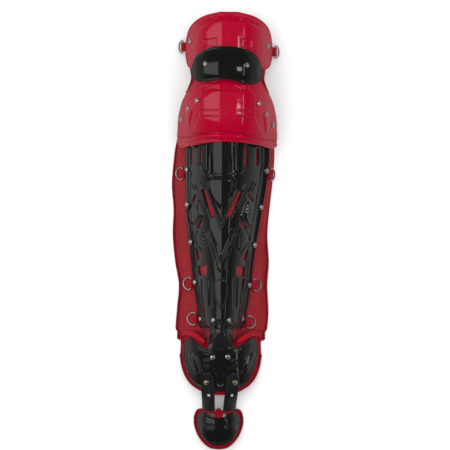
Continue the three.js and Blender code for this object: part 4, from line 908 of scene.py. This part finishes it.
def make_upper_pad():
    low = SHIN_LENGTH + CLEARANCE
    length = THIGH_LOW + THIGH_LENGTH - low
    net = row_net(WAIST_ROWS, (KNEE_SHIFT, KNEE_HALF - 0.5, low, length * 0.975), 0, PAD_STEP)

    def puff(px, py):
        waist = np.clip(1 - np.abs(py - (THIGH_LOW - WAIST_GAP / 2)) / WAIST_REACH, 0, 1)
        return WAIST_SWELL * ease(waist) * ease(1.6 - np.abs(px - KNEE_SHIFT) / WAIST_HALF)
    settle_cloth("upper_pad", net, under_upper, PAD_WALL, 2.6, puff=puff)
    share = np.linspace(0.33, 0.62, 60)
    reach = (KNEE_HALF - 1.5) * along(WAIST_ROWS, 1, share)
    settle_binding("upper_pad", *(
        binding(KNEE_SHIFT + sign * reach, low + share * length, under_upper) for sign in (-1, 1)))


def make_ankle_pad():
    place = (0.0, ANKLE_PAD_HALF - 0.8, ANKLE_PAD_LOW, ANKLE_PAD_LENGTH)
    net = column_net(ANKLE_PAD_COLUMNS, place, PAD_STEP)
    settle_cloth("ankle_pad", net, under_strap(under_ankle), PAD_WALL, 2.4)
    share = np.linspace(0.4, 0.985, 60)
    swell = np.clip(np.sin(math.pi * np.linspace(0.06, 0.95, 60)), 0.12, 1)
    y = ANKLE_PAD_LOW + ANKLE_PAD_LENGTH * along(ANKLE_PAD_HALVES, 2, share) - ROLL_DROP
    rolls = []
    for sign in (-1, 1):
        x = sign * place[1] * share
        z = np.maximum(under_ankle(x, y) + ROLL_LIFT, ROLL_FLOOR)
        rolls.append(tube(np.stack([x, y, z], -1), ROLL_RADIUS * np.sqrt(swell), 16))
    roll = piece_from("ankle_pad_roll", *joined(rolls), ROUND_SHARP)
    # The roll wears the brighter copy of the pad cloth, which is painted light.
    settle(roll, "red_pad", "ankle_pad", fill=ROLL_FILL, finish="bright_roll")
    x, y = outline(ANKLE_PAD_COLUMNS, place, 0.8)
    settle_binding("ankle_pad", binding(x[:OUTLINE_POINTS], y[:OUTLINE_POINTS], under_ankle))


def make_toe_pad():
    place = (TOE_SHIFT, TOE_PAD_HALF - 1.2, TOE_PAD_LOW, TOE_PAD_LENGTH)
    settle_cloth("toe_pad", column_net(TOE_PAD_COLUMNS, place, PAD_STEP), under_toe, TOE_PAD_WALL, 2.4)
    settle_binding("toe_pad", binding(*outline(TOE_PAD_COLUMNS, place, 0.6), under_toe, closed=True))


# Straps
# Columns: at, share of the width
TOE_STRAP_ROWS = table(
    (0, 0.95), (0.16, 0.95), (0.36, 0.97), (0.55, 1), (0.78, 1), (0.88, 0.98), (0.94, 0.85), (0.98, 0.6),
    (1, 0.3),
)


def link_relief(x, y):
    """Two long swellings, with a fold between them and a groove near each edge."""
    out = np.abs(x)
    groove_at, swell_at, swell_half = 20, 11, 9
    return (ridge(out, 1.6, -0.9) + ridge(np.abs(out - groove_at), 1.0, -0.35)
            + 0.9 * ease(1 - np.abs(out - swell_at) / swell_half))


def make_straps():
    low, high = ANKLE_TOP - LINK_TUCK, LINK_TUCK
    v, u = both_ways(high - low, LINK_WIDTH)
    net = (u * LINK_WIDTH / 2 + 0 * v, mix(low, high, v) + 0 * u)
    obj = shell_mesh("link_strap_band", net, link_surface, -SHELL_WALL - SEAT, STRAP_WALL, link_relief)
    settle(obj, "black_strap", "link_strap")
    low, high = TOE_TOP - TOE_STRAP_TUCK, ANKLE_FOOT + TOE_STRAP_ON_PLATE
    v, u = both_ways(high - low, TOE_STRAP_WIDTH)
    for side, name in ((-1, "toe_strap_left"), (1, "toe_strap_right")):
        centre = side * mix(TOE_STRAP_TOE_SPREAD, TOE_STRAP_SPREAD, v) + TOE_SHIFT * (1 - v)
        net = (centre + u * TOE_STRAP_WIDTH / 2 * along(TOE_STRAP_ROWS, 1, v), mix(low, high, v) + 0 * u)

        def punch(x, y, middle=side * PUNCH_SPREAD):
            return np.hypot(x - middle, y - (ANKLE_LOW - PUNCH_DROP)) - PUNCH_RADIUS
        obj = shell_mesh(name + "_band", net, toe_strap_surface, 0, STRAP_WALL, None, [punch], 0.9)
        settle(obj, "black_strap", name)


# Rivets, rings and tabs take their places from the CAD pieces' own points
def cad_points(node):
    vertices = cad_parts[node].data.vertices
    return np.array([v.co for v in vertices], float) / MM - DRAWING_TO_FRAME


def nodes_named(start):
    return sorted(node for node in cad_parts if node.startswith(start))


# Radius and height of a rivet's rings, from its foot up
RIVET_PROFILE = [
    (4.35, -0.5), (4.35, 0.25), (4.2, 0.5), (3.9, 0.72), (3.4, 1.05), (2.8, 1.4), (2.1, 1.74), (1.3, 2.0),
    (0.6, 2.14),
]
RIVET_TIP, RIVET_FOOT = 2.2, -0.5


def dome_mesh(foot, normal, sides=28):
    helper = np.array([1.0, 0, 0]) if abs(normal[0]) < 0.9 else np.array([0, 1.0, 0])
    east = np.cross(helper, normal)
    east /= np.linalg.norm(east)
    north = np.cross(normal, east)
    angle = np.linspace(0, 2 * math.pi, sides, endpoint=False)[:, None]
    round_about = np.cos(angle) * east + np.sin(angle) * north
    rings = [foot + normal * height + radius * round_about for radius, height in RIVET_PROFILE]
    vertices = np.vstack(rings + [foot + normal * RIVET_TIP, foot + normal * RIVET_FOOT])
    count = len(RIVET_PROFILE)
    last, tip = (count - 1) * sides, count * sides
    faces = ring_faces(count, sides)
    faces += [[last + i, last + (i + 1) % sides, tip] for i in range(sides)]
    faces += [[(i + 1) % sides, i, tip + 1] for i in range(sides)]
    return vertices, faces


def make_rivets():
    for node in nodes_named("rivet_"):
        points = cad_points(node)
        _, _, axes = np.linalg.svd(points - points.mean(0), full_matrices=False)
        normal = axes[2] * np.sign(axes[2][2])
        height = points @ normal
        foot = points[height < height.min() + 0.1].mean(0)
        look = "brass" if "strap" in node else "steel"
        settle(piece_from(node + "_head", *dome_mesh(foot, normal), 60.0), look, node)


# Outward and lengthwise shares of a ring's wire, which starts in the middle of its straight side
RING_OUTLINE = [
    (0, 0), (0, 0.75), (0.12, 1), (0.5, 0.92), (0.87, 0.52), (1, 0), (0.87, -0.52), (0.5, -0.92), (0.12, -1),
    (0, -0.75),
]


def closed_curve(points, count=160, overlap=40):
    """A smooth closed curve: once round a longer run through the points, from the first one."""
    run = smooth_path(points[-2:] + points + points[:3], count)
    start = np.argmin(np.abs(run[:overlap]).sum(1))
    curve = []
    for place in run[start:]:
        if len(curve) > overlap and np.hypot(*(place - curve[0])) < 0.08:
            break
        curve.append(place)
    return np.array(curve)


def ring_frame(node):
    """Middle of a ring's straight side and its outward, lengthwise and upward directions."""
    points = cad_points(node)
    middle = points.mean(0)
    _, _, axes = np.linalg.svd(points - middle, full_matrices=False)
    up = axes[2] * np.sign(axes[2][2] if abs(axes[2][2]) > 1e-3 else 1)
    length = np.array([0.0, 1.0, 0.0])
    out = np.cross(length, up)
    out *= np.sign(out[0]) * (1.0 if "right" in node else -1.0)
    out /= np.linalg.norm(out)
    bar = middle + out * (((points - middle) @ out).min() + RING_WIRE / 2)
    return bar, out, length, up


def tab_mesh(bar, out, length, up):
    """Webbing folded round a ring's straight side, with slightly smaller ends."""
    angles = np.linspace(-math.pi / 2, math.pi / 2, 14)
    profile = [(-TAB_TAIL, -TAB_OUTER)] + [(TAB_OUTER * math.cos(a), TAB_OUTER * math.sin(a)) for a in angles]
    profile += [(-TAB_WALL, 1.5 * TAB_WALL), (-TAB_TAIL, TAB_WALL)]
    half = TAB_WIDTH / 2
    vertices = []
    for offset, shrink in ((-half, 0.25), (0.3 - half, 0), (half - 0.3, 0), (half, 0.25)):
        for px, py in profile:
            scale = 1 - shrink / math.hypot(px, py)
            vertices.append(bar + out * px * scale + up * py * scale + length * offset)
    return np.array(vertices), ring_faces(4, len(profile)) + end_faces(4, len(profile))


def make_rings():
    curve = closed_curve(RING_OUTLINE)
    for node in nodes_named("ring_"):
        bar, out, length, up = ring_frame(node)
        line = bar + curve[:, :1] * RING_REACH * out + curve[:, 1:] * RING_HALF_LENGTH * length
        settle(piece_from(node + "_wire", *tube(line, RING_WIRE / 2, 12, True), ROUND_SHARP), "steel", node)
        tab = node.replace("ring_", "tab_")
        settle(piece_from(tab + "_web", *tab_mesh(bar, out, length, up), 60.0), "red_webbing", tab)


make_shin_plate()
make_plain_shells()
make_shin_pad()
make_upper_pad()
make_ankle_pad()
make_toe_pad()
make_straps()
make_rivets()
make_rings()


# Floor and surroundings, which are brighter below the horizon
def linked(name, data, location):
    obj = bpy.data.objects.new(name, data)
    bpy.context.scene.collection.objects.link(obj)
    obj.location = location
    return obj


FLOOR_HALF, FLOOR_DROP = 6, 0.0005
floor_mesh = bpy.data.meshes.new("floor")
corners = [(sx * FLOOR_HALF, sy * FLOOR_HALF, 0) for sx, sy in ((-1, -1), (1, -1), (1, 1), (-1, 1))]
floor_mesh.from_pydata(corners, [], [(0, 1, 2, 3)])
floor = linked("floor", floor_mesh, (0, 0, -FLOOR_DROP))
pale = Tree(bpy.data.materials.new("pale_floor"))
floor_mesh.materials.append(pale.shade({
    "Base Color": pale.blend(pale.noise(pale.place(), 3, 2), (0.93, 0.93, 0.93), (0.94, 0.94, 0.94)),
    "Roughness": 0.9,
    "Specular IOR Level": 0.0,
}))
floor.visible_glossy = False

scene = bpy.context.scene
scene.world = bpy.data.worlds.new("studio")
sky = Tree(scene.world)
up_and_down = sky.add("SeparateXYZ", {"Vector": sky.place("Generated")}).outputs["Z"]
sky.feed(sky.nodes["Background"], {
    "Color": (1, 1, 1, 1),
    "Strength": sky.spread(up_and_down, -0.3, 0.42, 0.45, 0.02),
})


# A soft box on the left and two strips on the right give the reflections; two wide suns fill the shadows
def hang_light(name, location, width, length, radiance):
    data = bpy.data.lights.new(name, "AREA")
    data.shape = "RECTANGLE"
    data.size, data.size_y = width, length
    data.energy = radiance * math.pi * width * length
    linked(name, data, location)


hang_light("soft_box_left", (-4.0, 0.35, 2.1), 6.4, 2.3, 1.35)
hang_light("strip_right", (1.5, 0.45, 2.1), 0.65, 0.64, 6.0)
hang_light("edge_right", (2.4, 0.1, 2.1), 0.16, 2.4, 5.0)
for name, lean in (("fill_left", -0.5), ("fill_right", 0.45)):
    data = bpy.data.lights.new(name, "SUN")
    data.energy, data.angle = 1.75, math.radians(70)
    towards = Vector((lean, 0.1, 1))
    sun = linked(name, data, towards)
    sun.rotation_euler = (-towards).to_track_quat("-Z", "Y").to_euler()
    sun.visible_glossy = False

# A long lens from straight above, turned to the photo's slight lean
VIEW_WIDTH, LENS, SENSOR = 0.7425, 800.0, 36.0
VIEW_CENTRE, CREST_HEIGHT, LEAN = (-0.0009, 0.0089), 0.03, 0.0092
camera_data = bpy.data.cameras.new("camera")
camera_data.lens, camera_data.sensor_width, camera_data.clip_end = LENS, SENSOR, 50
camera = linked("camera", camera_data, (*VIEW_CENTRE, VIEW_WIDTH * LENS / SENSOR + CREST_HEIGHT))
camera.rotation_euler = (0, 0, LEAN)
scene.camera = camera

scene.view_settings.view_transform = "Standard"
scene.view_settings.look = "None"
scene.view_settings.exposure = 0.0
